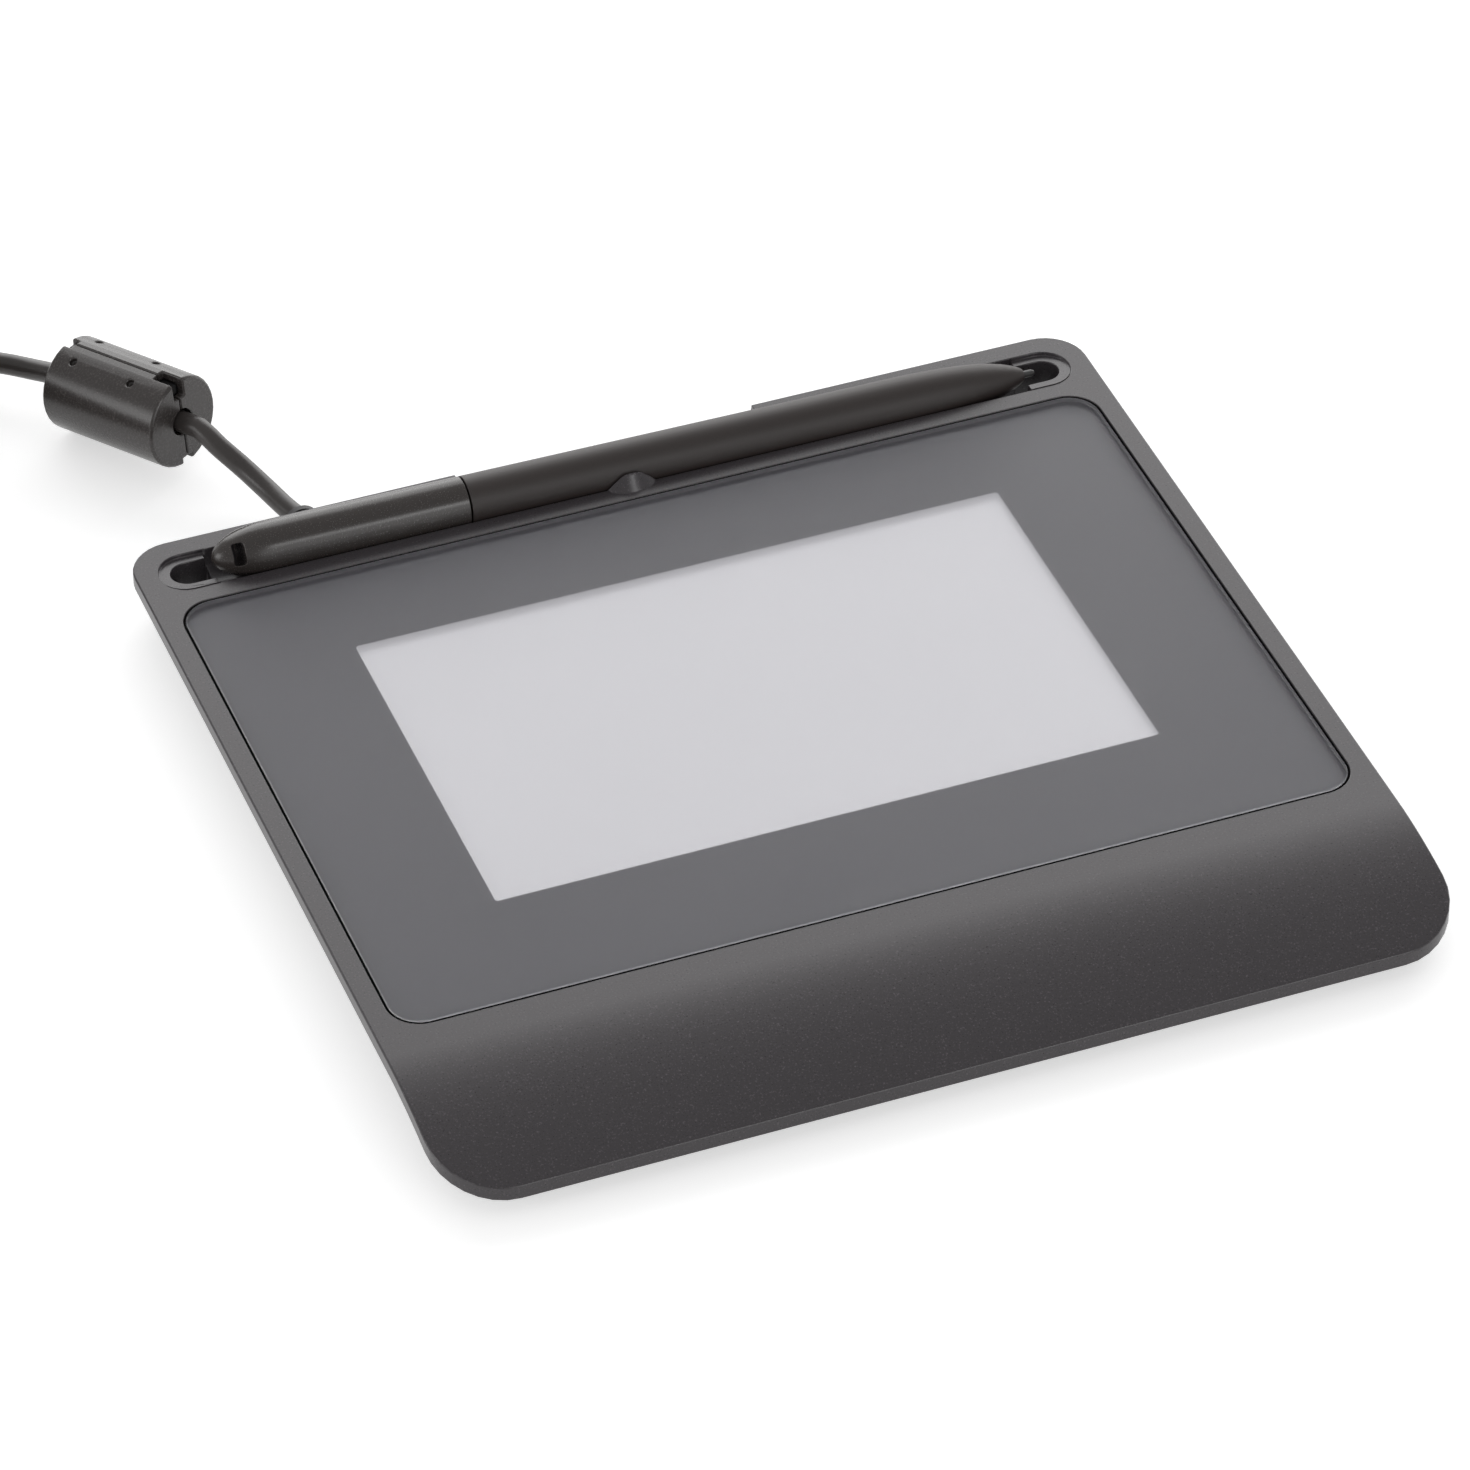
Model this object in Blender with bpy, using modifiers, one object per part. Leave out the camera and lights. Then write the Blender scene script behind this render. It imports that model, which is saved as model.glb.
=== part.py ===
"""Signature pad with a glass-fronted display, a pen in its tray and a cable with a clip-on ferrite.

Metres, +Z up. The origin is on the desk under the middle of the pad's own box. The user sits
at -Y. The pen lies along X in a tray at the back.
"""

import math

import bpy
import bmesh
from mathutils import Matrix, Vector

# Fits and cuts shared by every piece
SEAT_GAP = 0.0003
OVERRUN = 0.002
CRACK_WIDTH = 0.00003
CORNER_STEPS = 8
ROUND_STEPS = 24

# Clear window, and the printed border round it that makes up the rest of the glass
WINDOW_WIDTH = 0.108
WINDOW_DEPTH = 0.0648
BORDER_SIDE = 0.0230
BORDER_FRONT = 0.02245
BORDER_BACK = 0.01785

# Pad outline round the glass; the palm rest curves down to the front edge
SIDE_MARGIN = 0.0040
FLAT_FRONT = 0.00545
PALM_RUN = 0.0277
PALM_DROP = 0.0050
PALM_STEPS = 12
FRONT_CORNER_RADIUS = 0.011
BACK_CORNER_RADIUS = 0.007
GLASS_PROUD = 0.0001

# Top housing
RIM_HEIGHT = 0.0026
RIM_WIDTH = 0.0048
DECK_THICKNESS = 0.0018
EDGE_ROUND = 0.0003
EDGE_STEPS = 2

# Bottom housing, tucked in under the rim, with sides that lean in towards the desk
FOOT_STAND = 0.0010
BASE_INSET = 0.0016
BASE_FOOT_INSET = 0.0030
BASE_WALL = 0.0014
BASE_FLOOR = 0.0016
BASE_ROUND = 0.0007

# Cover glass and what is bonded under it
GLASS_THICKNESS = 0.0012
GLASS_CORNER_RADIUS = 0.0050
GLASS_GROOVE = 0.00045
FILM_THICKNESS = 0.0002
FILM_MARGIN = 0.0006
ADHESIVE_THICKNESS = 0.0003
ADHESIVE_WIDTH = 0.0045
BED_THICKNESS = 0.0010
BED_WALL = 0.0016

# Display module and pen sensor, which reach past the window on every side
DISPLAY_EDGE_SIDE = 0.00635
DISPLAY_EDGE_FRONT = 0.0069
DISPLAY_EDGE_BACK = 0.0041
DISPLAY_CLEARANCE = 0.0008
PANEL_THICKNESS = 0.0011
BACKLIGHT_THICKNESS = 0.0018
SENSOR_MARGIN = 0.0009
SENSOR_THICKNESS = 0.0005
SHIELD_THICKNESS = 0.0003
UNDER_SHIELD = 0.0012
RIB_WIDTH = 0.0020
RIB_FROM_SIDE = 0.02535
RIB_END_MARGIN = 0.0079

# Main board under the palm rest
BOARD_SIDE_MARGIN = 0.00235
BOARD_DEPTH = 0.024
BOARD_THICKNESS = 0.0010
BOARD_LIFT = 0.0013
BOARD_BOSS_INSET = 0.0060
BOARD_BOSS_RADIUS = 0.0022
BOARD_HOLE_RADIUS = 0.0011
BOARD_SCREW_RADIUS = 0.0007
BOARD_SCREW_HEAD_RADIUS = 0.0018
BOARD_SCREW_HEAD_HEIGHT = 0.0008
BOARD_SCREW_LENGTH = 0.0026
SOCKET_HEIGHT = 0.0011
SOCKET_DEPTH = 0.0036
RIBBON_RUN = 0.0052
DISPLAY_RIBBON_WIDTH = 0.026
SENSOR_RIBBON_WIDTH = 0.016
DISPLAY_RIBBON_X = 0.016
SENSOR_RIBBON_X = -0.020
RIBBON_THICKNESS = 0.00025
HEADER_WIDTH = 0.0080
HEADER_DEPTH = 0.0050
HEADER_HEIGHT = 0.0011
HEADER_END_MARGIN = 0.0090
CHIP_SIZE = 0.0090
CHIP_HEIGHT = 0.0011
CHIP_X = 0.0300
CAN_WIDTH = 0.0160
CAN_DEPTH = 0.0120
CAN_X = -0.0010

# Case screws from below, under the glass's corners
SCREW_INSET_X = 0.0067
SCREW_INSET_Y = 0.00695
SCREW_SHANK_RADIUS = 0.0011
SCREW_HEAD_RADIUS = 0.0022
SCREW_HEAD_HEIGHT = 0.0013
SCREW_HEAD_SINK = 0.0003
POST_WALL = 0.0017
POST_HEIGHT = 0.0023
SCREW_BITE = 0.0018

# Rubber feet
FOOT_RADIUS = 0.0050
FOOT_POCKET = 0.0006
FOOT_ROUND = 0.0003
FOOT_BACK_INSET = 0.0230
FOOT_FRONT_INSET = 0.0160
FOOT_BACK_MARGIN = 0.0165
FOOT_FRONT_MARGIN = 0.0160

# Pen, lying in the tray with its nib end slightly lower
PEN_DIAMETER = 0.0085
PEN_END_GAP = 0.0003
PEN_REAR_LENGTH = 0.0420
PEN_TIP_OVERHANG = 0.0003
PEN_RISE = 0.0004
PEN_TILT = 0.010
PEN_REAR_ROUND = 0.0092
PEN_NOSE_LENGTH = 0.0400
PEN_WALL = 0.0011
PEN_SPIGOT_LENGTH = 0.0080
PEN_SPIGOT_BORE = 0.0018
PEN_BORE_TAPER = 0.0130
NIB_REACH = 0.0021
NIB_RADIUS = 0.0006
NIB_CLEARANCE = 0.0002
NIB_WALL = 0.0002
NIB_LENGTH = 0.0300
NIB_TRAVEL = 0.0005
TETHER_HOLE_FROM_REAR = 0.0038
TETHER_HOLE_WIDTH = 0.0019
TETHER_HOLE_HEIGHT = 0.0036
TETHER_HOLE_ROUND = 0.0004
TETHER_HOLE_ELEVATION = math.radians(36)
ANTENNA_RADIUS = 0.0015
ANTENNA_LENGTH = 0.0130
ANTENNA_FROM_TIP = 0.0140
WINDING_LENGTH = 0.0080
SENSOR_CAP_LENGTH = 0.0070
PEN_INNER_CLEARANCE = 0.00065
PEN_BOARD_SETBACK = 0.0118
PEN_BOARD_WIDTH = 0.0042
PEN_BOARD_THICKNESS = 0.0008

# Tray for the pen, with a shelf and a tether slot at each end
TRAY_CLEARANCE = 0.0003
TRAY_BACK_LAND = 0.0038
TRAY_FRONT_LAND = 0.00375
TRAY_WALL = 0.0010
SHELF_END_MARGIN = 0.0036
SHELF_RADIUS = 0.0045
SHELF_RUN = 0.0039
SHELF_DEPTH = 0.0007
SLOT_RADIUS = 0.0029
SLOT_INSET = 0.0003
SLOT_COLLAR = 0.0008
NOTCH_LENGTH = 0.0507
NOTCH_DEPTH = 0.0018
NOTCH_ROUND = 0.0012
LUG_BASE_RADIUS = 0.0059
LUG_TOP_RADIUS = 0.0034
LUG_HEIGHT = 0.0024
LUG_SETBACK = 0.0014

# Cable and its strain relief, seated on a round boss of the back wall
CORD_DIAMETER = 0.0035
CORD_FROM_SIDE = 0.0313
CABLE_BOSS_MARGIN = 0.0002
RELIEF_RADIUS = 0.0029
RELIEF_NECK_RADIUS = 0.0020
RELIEF_WALL = 0.00075
RELIEF_LENGTH = 0.0065
RELIEF_TAIL = 0.0008
RELIEF_GROOVE_DEPTH = 0.0004
RELIEF_GROOVES = 3
LEAD_DIAMETER = 0.0014
LEAD_CLEARANCE = 0.0004

# Points that the cable passes between its exit and the ferrite, and from there to the coil,
# counted from the exit at the pad's back edge
ROUTE_TO_FERRITE = ((-0.0012, 0.0088, 0.0001), (-0.0027, 0.0138, 0.0005),
                    (-0.0050, 0.0188, 0.0020), (-0.0079, 0.0223, 0.0046))
ROUTE_TO_COIL = ((-0.0288, 0.0560, 0.0021), (-0.0333, 0.0604, 0.0016),
                 (-0.0408, 0.0670, 0.0003), (-0.0503, 0.0722, -0.0009))

# Clip-on ferrite round the cable, its far end resting on the desk
FERRITE_RADIUS = 0.0078
FERRITE_LENGTH = 0.0236
FERRITE_STEPS = 32
FERRITE_FROM_EXIT = (-0.0179, 0.0388)
FERRITE_YAW = math.radians(121.7)
FERRITE_PITCH = math.radians(5.9)
FERRITE_WALL = 0.0015
FERRITE_EDGE_ROUND = 0.0005
FERRITE_BORE_GAP = 0.0005
FERRITE_SPLIT = 0.0002
LATCH_SLOT_WIDTH = 0.0012
LATCH_SLOT_LENGTH = 0.0042
LATCH_SLOT_DROP = 0.0033
LATCH_NOTCH_WIDTH = 0.0022
LATCH_NOTCH_LENGTH = 0.0018
LATCH_NOTCH_DEPTH = 0.0013
PINHOLE_RADIUS = 0.0007
PINHOLE_DEPTH = 0.0010
PINHOLE_ANGLE = math.radians(25)
PINHOLE_FIRST = 0.0040
PINHOLE_SPACING = 0.0122
PINHOLE_COUNT = 2

# Coil of the cable that the photograph leaves out, held by a tie
COIL_FROM_EXIT = (-0.0743, 0.0488)
COIL_MID_RADIUS = 0.0210
COIL_CLEARANCE = 0.0006
COIL_LAYERS = 4
COIL_TURNS_PER_LAYER = 2.5
COIL_CLIMB_TURNS = 0.25
COIL_POINTS_PER_TURN = 24
TIE_THICKNESS = 0.0008
TIE_WIDTH = 0.0040
TIE_ANGLE = math.radians(-60)

# Plug beside the coil
PLUG_FROM_EXIT = (-0.1143, 0.04005)
PLUG_BOOT_LENGTH = 0.0090
PLUG_BOOT_RADIUS = 0.0031
PLUG_BOOT_TIP_RADIUS = 0.0024
PLUG_BODY_LENGTH = 0.0220
PLUG_BODY_WIDTH = 0.0148
PLUG_BODY_HEIGHT = 0.0078
PLUG_BODY_ROUND = 0.0016
PLUG_STAND = 0.0001
PLUG_SHELL_WIDTH = 0.0120
PLUG_SHELL_HEIGHT = 0.0045
PLUG_SHELL_LENGTH = 0.0118
PLUG_SHELL_WALL = 0.0003
PLUG_WINDOW = 0.0023
PLUG_WINDOW_SPACING = 0.0052
PLUG_WINDOW_FROM_MOUTH = 0.0052
PLUG_TONGUE_HEIGHT = 0.0018
PLUG_TONGUE_LENGTH = 0.0105

# Outline of the glass, the display and the pad
pen_radius = PEN_DIAMETER / 2
tray_radius = pen_radius + TRAY_CLEARANCE
glass_width = WINDOW_WIDTH + 2 * BORDER_SIDE
glass_depth = WINDOW_DEPTH + BORDER_FRONT + BORDER_BACK
display_width = WINDOW_WIDTH + 2 * DISPLAY_EDGE_SIDE
display_depth = WINDOW_DEPTH + DISPLAY_EDGE_FRONT + DISPLAY_EDGE_BACK
sensor_width = display_width - 2 * SENSOR_MARGIN
sensor_depth = display_depth - 2 * SENSOR_MARGIN
tray_band = TRAY_FRONT_LAND + 2 * tray_radius + TRAY_BACK_LAND
pad_width = glass_width + 2 * SIDE_MARGIN
pad_depth = PALM_RUN + FLAT_FRONT + glass_depth + tray_band
front_y = -pad_depth / 2
back_y = pad_depth / 2
palm_start_y = front_y + PALM_RUN
palm_radius = (PALM_RUN ** 2 + PALM_DROP ** 2) / (2 * PALM_DROP)
glass_y = palm_start_y + FLAT_FRONT + glass_depth / 2
window_y = glass_y + (BORDER_FRONT - BORDER_BACK) / 2
display_y = window_y - (DISPLAY_EDGE_FRONT - DISPLAY_EDGE_BACK) / 2
display_front = display_y - display_depth / 2
display_back = display_y + display_depth / 2
recess_width = glass_width + 2 * GLASS_GROOVE
recess_depth = glass_depth + 2 * GLASS_GROOVE
recess_radius = GLASS_CORNER_RADIUS + GLASS_GROOVE
bed_depth = recess_depth + 2 * BED_WALL

# Heights, stacked up from the desk to the writing face
floor_top = FOOT_STAND + BASE_FLOOR
shield_bottom = floor_top + UNDER_SHIELD
shield_top = shield_bottom + SHIELD_THICKNESS
sensor_bottom = shield_top + SEAT_GAP
sensor_top = sensor_bottom + SENSOR_THICKNESS
backlight_bottom = sensor_top + SEAT_GAP
backlight_top = backlight_bottom + BACKLIGHT_THICKNESS
panel_bottom = backlight_top + SEAT_GAP
panel_top = panel_bottom + PANEL_THICKNESS
film_bottom = panel_top + SEAT_GAP
film_top = film_bottom + FILM_THICKNESS
glass_bottom = film_top + SEAT_GAP
pad_height = glass_bottom + GLASS_THICKNESS
deck_z = pad_height - GLASS_PROUD
rim_low = deck_z - RIM_HEIGHT
adhesive_top = film_bottom - SEAT_GAP
adhesive_bottom = adhesive_top - ADHESIVE_THICKNESS
bed_top = adhesive_bottom - SEAT_GAP
bed_bottom = bed_top - BED_THICKNESS

# Places of the pen, its tray and its slots
pen_y = back_y - TRAY_BACK_LAND - tray_radius
pen_z = pad_height + PEN_RISE
shelf_centre_x = pad_width / 2 - SHELF_END_MARGIN - SHELF_RADIUS
slot_centre_x = shelf_centre_x - SLOT_INSET
tray_half = shelf_centre_x - SHELF_RUN
pen_rear_x = -tray_half + PEN_END_GAP
pen_seam_x = pen_rear_x + PEN_REAR_LENGTH
pen_tip_x = tray_half + PEN_TIP_OVERHANG
pen_nib_x = pen_tip_x + NIB_REACH
pen_bore = pen_radius - PEN_WALL

# Places of the main board
board_width = display_width - 2 * BOARD_SIDE_MARGIN
board_y = display_front - RIBBON_RUN - BOARD_DEPTH / 2
board_bottom = floor_top + BOARD_LIFT
board_top = board_bottom + BOARD_THICKNESS
board_boss_x = board_width / 2 - BOARD_BOSS_INSET

# Places of the cable, its ferrite, its coil and its plug
cord_radius = CORD_DIAMETER / 2
lead_radius = LEAD_DIAMETER / 2
lead_z = floor_top + LEAD_CLEARANCE + lead_radius
exit_x = -pad_width / 2 + CORD_FROM_SIDE
exit_z = (FOOT_STAND + rim_low - SEAT_GAP) / 2
exit_place = Vector((exit_x, back_y, exit_z))
base_lean = (BASE_FOOT_INSET - BASE_INSET) / (rim_low - FOOT_STAND)
exit_wall_y = back_y - BASE_INSET - base_lean * (rim_low - exit_z)
cable_boss_radius = (rim_low - SEAT_GAP - FOOT_STAND) / 2 - CABLE_BOSS_MARGIN
relief_tip_radius = cord_radius + SEAT_GAP + RELIEF_WALL
relief_inner_y = exit_wall_y - BASE_WALL - RELIEF_TAIL
relief_outer_y = back_y - BASE_INSET + SEAT_GAP + RELIEF_LENGTH
ferrite_x = exit_x + FERRITE_FROM_EXIT[0]
ferrite_y = back_y + FERRITE_FROM_EXIT[1]
ferrite_z = FERRITE_LENGTH / 2 * math.sin(FERRITE_PITCH) + FERRITE_RADIUS * math.cos(FERRITE_PITCH)
coil_pitch = CORD_DIAMETER + COIL_CLEARANCE
coil_centre = (exit_x + COIL_FROM_EXIT[0], back_y + COIL_FROM_EXIT[1])
plug_place = (exit_x + PLUG_FROM_EXIT[0], back_y + PLUG_FROM_EXIT[1])


# Helpers


def clear_scene():
    for old in list(bpy.data.objects):
        bpy.data.objects.remove(old, do_unlink=True)


def new_collection(name):
    group = bpy.data.collections.new(name)
    bpy.context.scene.collection.children.link(group)
    return group


def plastic(name, color, roughness, metallic=0.0):
    made = bpy.data.materials.new(name)
    made.use_nodes = True
    shader = made.node_tree.nodes["Principled BSDF"]
    shader.inputs["Base Color"].default_value = (*color, 1.0)
    shader.inputs["Roughness"].default_value = roughness
    shader.inputs["Metallic"].default_value = metallic
    made.diffuse_color = (*color, 1.0)
    return made


def add_part(obj, look):
    """Put a finished piece in the pad's collection with its own material."""
    for group in list(obj.users_collection):
        group.objects.unlink(obj)
    parts.objects.link(obj)
    obj.data.materials.clear()
    obj.data.materials.append(look)
    return obj


def add_cutter(obj):
    """A shape that only cuts or joins another stays hidden."""
    for group in list(obj.users_collection):
        group.objects.unlink(obj)
    cutters.objects.link(obj)
    obj.hide_render = True
    obj.display_type = 'WIRE'
    return obj


def curve_to_mesh(curve_object, weld=1e-6, whole_faces=False):
    """Turn a curve object into a closed mesh object, with its flat faces left whole on request."""
    bpy.context.view_layer.update()
    depsgraph = bpy.context.evaluated_depsgraph_get()
    mesh = bpy.data.meshes.new_from_object(curve_object.evaluated_get(depsgraph))
    shell = bmesh.new()
    shell.from_mesh(mesh)
    bmesh.ops.remove_doubles(shell, verts=shell.verts, dist=weld)
    bmesh.ops.recalc_face_normals(shell, faces=shell.faces)
    if whole_faces:
        bmesh.ops.dissolve_limit(shell, angle_limit=math.radians(0.01), verts=shell.verts, edges=shell.edges)
    shell.to_mesh(mesh)
    shell.free()
    made = bpy.data.objects.new(curve_object.name, mesh)
    made.matrix_world = curve_object.matrix_world.copy()
    name = curve_object.name
    bpy.context.scene.collection.objects.link(made)
    bpy.data.objects.remove(curve_object, do_unlink=True)
    made.name = name
    return made


def slab(name, outlines, low, high, matrix=None):
    """A flat plate: 2D outlines, the first outside and the rest holes, from low to high."""
    curve = bpy.data.curves.new(name, 'CURVE')
    curve.dimensions = '2D'
    curve.fill_mode = 'BOTH'
    curve.extrude = (high - low) / 2
    for outline in outlines:
        spline = curve.splines.new('POLY')
        spline.points.add(len(outline) - 1)
        for point, (x, y) in zip(spline.points, outline):
            point.co = (x, y, 0, 1)
        spline.use_cyclic_u = True
    flat = bpy.data.objects.new(name, curve)
    bpy.context.scene.collection.objects.link(flat)
    flat.matrix_world = (matrix or Matrix()) @ Matrix.Translation((0, 0, (low + high) / 2))
    return curve_to_mesh(flat, whole_faces=len(outlines) == 1)


# A plate drawn in the YZ plane and run along X, and one drawn in XZ and run along -Y
ALONG_X = Matrix(((0, 0, 1, 0), (1, 0, 0, 0), (0, 1, 0, 0), (0, 0, 0, 1)))
ALONG_Y = Matrix(((1, 0, 0, 0), (0, 0, -1, 0), (0, 1, 0, 0), (0, 0, 0, 1)))


def arc(centre_x, centre_y, radius, start, end, steps):
    return [(centre_x + radius * math.cos(start + (end - start) * i / steps),
             centre_y + radius * math.sin(start + (end - start) * i / steps))
            for i in range(steps + 1)]


def rounded_rectangle(centre, width, depth, front_radius, back_radius, steps=CORNER_STEPS):
    """Outline of a plate whose front and back corners may differ."""
    x, y = centre
    half_width, half_depth = width / 2, depth / 2
    quarter = math.pi / 2
    outline = []
    outline += arc(x + half_width - back_radius, y + half_depth - back_radius,
                   back_radius, 0, quarter, steps)
    outline += arc(x - half_width + back_radius, y + half_depth - back_radius,
                   back_radius, quarter, 2 * quarter, steps)
    outline += arc(x - half_width + front_radius, y - half_depth + front_radius,
                   front_radius, 2 * quarter, 3 * quarter, steps)
    outline += arc(x + half_width - front_radius, y - half_depth + front_radius,
                   front_radius, 3 * quarter, 4 * quarter, steps)
    return outline


def obround(start_x, end_x, y, radius, steps=ROUND_STEPS // 2):
    """Outline of a slot with a round end at end_x and a square end at start_x."""
    side = 1 if end_x > start_x else -1
    quarter = math.pi / 2
    tip = [(end_x + side * px, y + py) for px, py in arc(0, 0, radius, -quarter, quarter, steps)]
    outline = [(start_x, y - radius)] + tip + [(start_x, y + radius)]
    return outline if side > 0 else outline[::-1]


def box(name, centre, size, matrix=None):
    bpy.ops.mesh.primitive_cube_add(size=1)
    made = bpy.context.active_object
    made.name = name
    made.data.name = name
    made.data.transform(Matrix.Diagonal((*size, 1)))
    made.matrix_world = (matrix or Matrix()) @ Matrix.Translation(centre)
    return made


def rod(name, radius, low, high, matrix=None, steps=ROUND_STEPS, top_radius=None):
    """A cylinder or cone along local Z."""
    shape = bmesh.new()
    bmesh.ops.create_cone(shape, cap_ends=True, segments=steps, radius1=radius,
                          radius2=radius if top_radius is None else top_radius,
                          depth=high - low)
    mesh = bpy.data.meshes.new(name)
    shape.to_mesh(mesh)
    shape.free()
    made = bpy.data.objects.new(name, mesh)
    bpy.context.scene.collection.objects.link(made)
    made.matrix_world = (matrix or Matrix()) @ Matrix.Translation((0, 0, (low + high) / 2))
    return made


def turned(name, profile, matrix=None, steps=ROUND_STEPS):
    """Spin a profile of (radius, height) points, listed top to bottom, about local Z."""
    mesh = bpy.data.meshes.new(name)
    mesh.from_pydata([(radius, 0, height) for radius, height in profile],
                     [(i, i + 1) for i in range(len(profile) - 1)], [])
    made = bpy.data.objects.new(name, mesh)
    bpy.context.scene.collection.objects.link(made)
    spin = made.modifiers.new("Spin", 'SCREW')
    spin.axis = 'Z'
    spin.steps = steps
    spin.render_steps = steps
    spin.use_merge_vertices = True
    spin.merge_threshold = 1e-6
    made.matrix_world = matrix or Matrix()
    return made


def turned_ring(name, profile, matrix=None, steps=ROUND_STEPS):
    """As turned, for a closed profile that stays off the axis."""
    made = turned(name, profile + profile[:1], matrix, steps)
    shape = bmesh.new()
    shape.from_mesh(made.data)
    bmesh.ops.remove_doubles(shape, verts=shape.verts, dist=1e-6)
    shape.to_mesh(made.data)
    shape.free()
    return made


def tube(name, points, radius, sides_resolution):
    """A round wire with closed ends along a list of points."""
    curve = bpy.data.curves.new(name, 'CURVE')
    curve.dimensions = '3D'
    curve.bevel_depth = radius
    curve.bevel_resolution = sides_resolution
    curve.use_fill_caps = True
    curve.twist_mode = 'MINIMUM'
    spline = curve.splines.new('POLY')
    spline.points.add(len(points) - 1)
    for point, place in zip(spline.points, points):
        point.co = (*place, 1)
    made = bpy.data.objects.new(name, curve)
    bpy.context.scene.collection.objects.link(made)
    return curve_to_mesh(made)


def smooth_path(route, spacing):
    """Points at an even spacing on a smooth curve through the route's points."""
    places = [Vector(p) for p in route]
    before = places[0] * 2 - places[1]
    after = places[-1] * 2 - places[-2]
    knots = [before] + places + [after]
    fine = []
    fine_steps = 24
    for a, b, c, d in zip(knots, knots[1:], knots[2:], knots[3:]):
        for i in range(fine_steps):
            t = i / fine_steps
            fine.append(0.5 * (2 * b + (c - a) * t + (2 * a - 5 * b + 4 * c - d) * t * t
                               + (3 * b - a - 3 * c + d) * t ** 3))
    fine.append(places[-1])
    total = path_length(fine)
    count = max(2, round(total / spacing))
    path = [fine[0]]
    walked, wanted = 0.0, total / count
    for a, b in zip(fine, fine[1:]):
        step = (b - a).length
        while walked + step >= wanted and len(path) < count:
            path.append(a.lerp(b, (wanted - walked) / step))
            wanted += total / count
        walked += step
    path.append(fine[-1])
    return path


def path_length(points):
    return sum((b - a).length for a, b in zip(points, points[1:]))


def combine(target, operation, *others):
    for other in others:
        step = target.modifiers.new(operation.title(), 'BOOLEAN')
        step.operation = operation
        step.object = add_cutter(other)


def cut(target, *others):
    combine(target, 'DIFFERENCE', *others)


def join(target, *others):
    combine(target, 'UNION', *others)


def keep_inside(target, other):
    combine(target, 'INTERSECT', other)


def round_edges(obj, width, segments=1, angle=math.radians(40)):
    edge = obj.modifiers.new("Edges", 'BEVEL')
    edge.width = width
    edge.segments = segments
    edge.limit_method = 'ANGLE'
    edge.angle_limit = angle


def close_cracks(mesh):
    """Close the hair-thin cracks that a long row of cuts can leave along a round edge."""
    shell = bmesh.new()
    shell.from_mesh(mesh)
    open_edges = [edge for edge in shell.edges if edge.is_boundary]
    if open_edges:
        bmesh.ops.holes_fill(shell, edges=open_edges, sides=0)
        bmesh.ops.dissolve_degenerate(shell, dist=CRACK_WIDTH, edges=shell.edges)
        bmesh.ops.recalc_face_normals(shell, faces=shell.faces)
        shell.to_mesh(mesh)
    shell.free()


def shade_round(obj, angle=math.radians(35)):
    """Shade round faces smooth and keep crisp edges, on the final surface."""
    bpy.context.view_layer.update()
    depsgraph = bpy.context.evaluated_depsgraph_get()
    finished = bpy.data.meshes.new_from_object(obj.evaluated_get(depsgraph))
    close_cracks(finished)
    obj.modifiers.clear()
    obj.data = finished
    finished.shade_smooth()
    finished.set_sharp_from_angle(angle=angle)


def empty(name, matrix):
    made = bpy.data.objects.new(name, None)
    parts.objects.link(made)
    made.matrix_world = matrix
    bpy.context.view_layer.update()
    return made


def palm_line(lower):
    """Points (y, z) from the back edge over the palm rest to the front, lowered by lower."""
    line = [(back_y + OVERRUN, deck_z - lower), (palm_start_y, deck_z - lower)]
    for i in range(1, PALM_STEPS + 1):
        run = PALM_RUN * i / PALM_STEPS
        drop = palm_radius - math.sqrt(palm_radius ** 2 - run ** 2)
        line.append((palm_start_y - run, deck_z - lower - drop))
    front = line[-1]
    slope = PALM_RUN / math.sqrt(palm_radius ** 2 - PALM_RUN ** 2)
    line.append((front[0] - OVERRUN, front[1] - OVERRUN * slope))
    return line


def side_solid(name, top_lower, bottom_lower=None, bottom=None):
    """A solid as wide as the pad between two copies of the palm line, or down to a level."""
    upper = palm_line(top_lower)
    if bottom is None:
        lower = palm_line(bottom_lower)[::-1]
    else:
        lower = [(upper[-1][0], bottom), (upper[0][0], bottom)]
    half = pad_width / 2 + OVERRUN
    return slab(name, [upper + lower], -half, half, ALONG_X)


def pad_plan(name, inset, low, high):
    outline = rounded_rectangle((0, 0), pad_width - 2 * inset, pad_depth - 2 * inset,
                                FRONT_CORNER_RADIUS - inset, BACK_CORNER_RADIUS - inset)
    return slab(name, [outline], low, high)


def leaning_plan(name, wall, low, high):
    """As pad_plan, inside the base's leaning sides by a wall."""
    low_inset, high_inset = (BASE_INSET + wall + base_lean * (rim_low - z) for z in (low, high))
    made = pad_plan(name, high_inset, low, high)
    for vert in made.data.vertices:
        if vert.co.z < 0:
            radius = BACK_CORNER_RADIUS if vert.co.y > 0 else FRONT_CORNER_RADIUS
            share = (radius - low_inset) / (radius - high_inset)
            corner = Vector((math.copysign(pad_width / 2 - radius, vert.co.x),
                             math.copysign(pad_depth / 2 - radius, vert.co.y), vert.co.z))
            vert.co = corner + (vert.co - corner) * share
    return made


clear_scene()
parts = new_collection("signature_pad")
cutters = new_collection("cutters")

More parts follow.
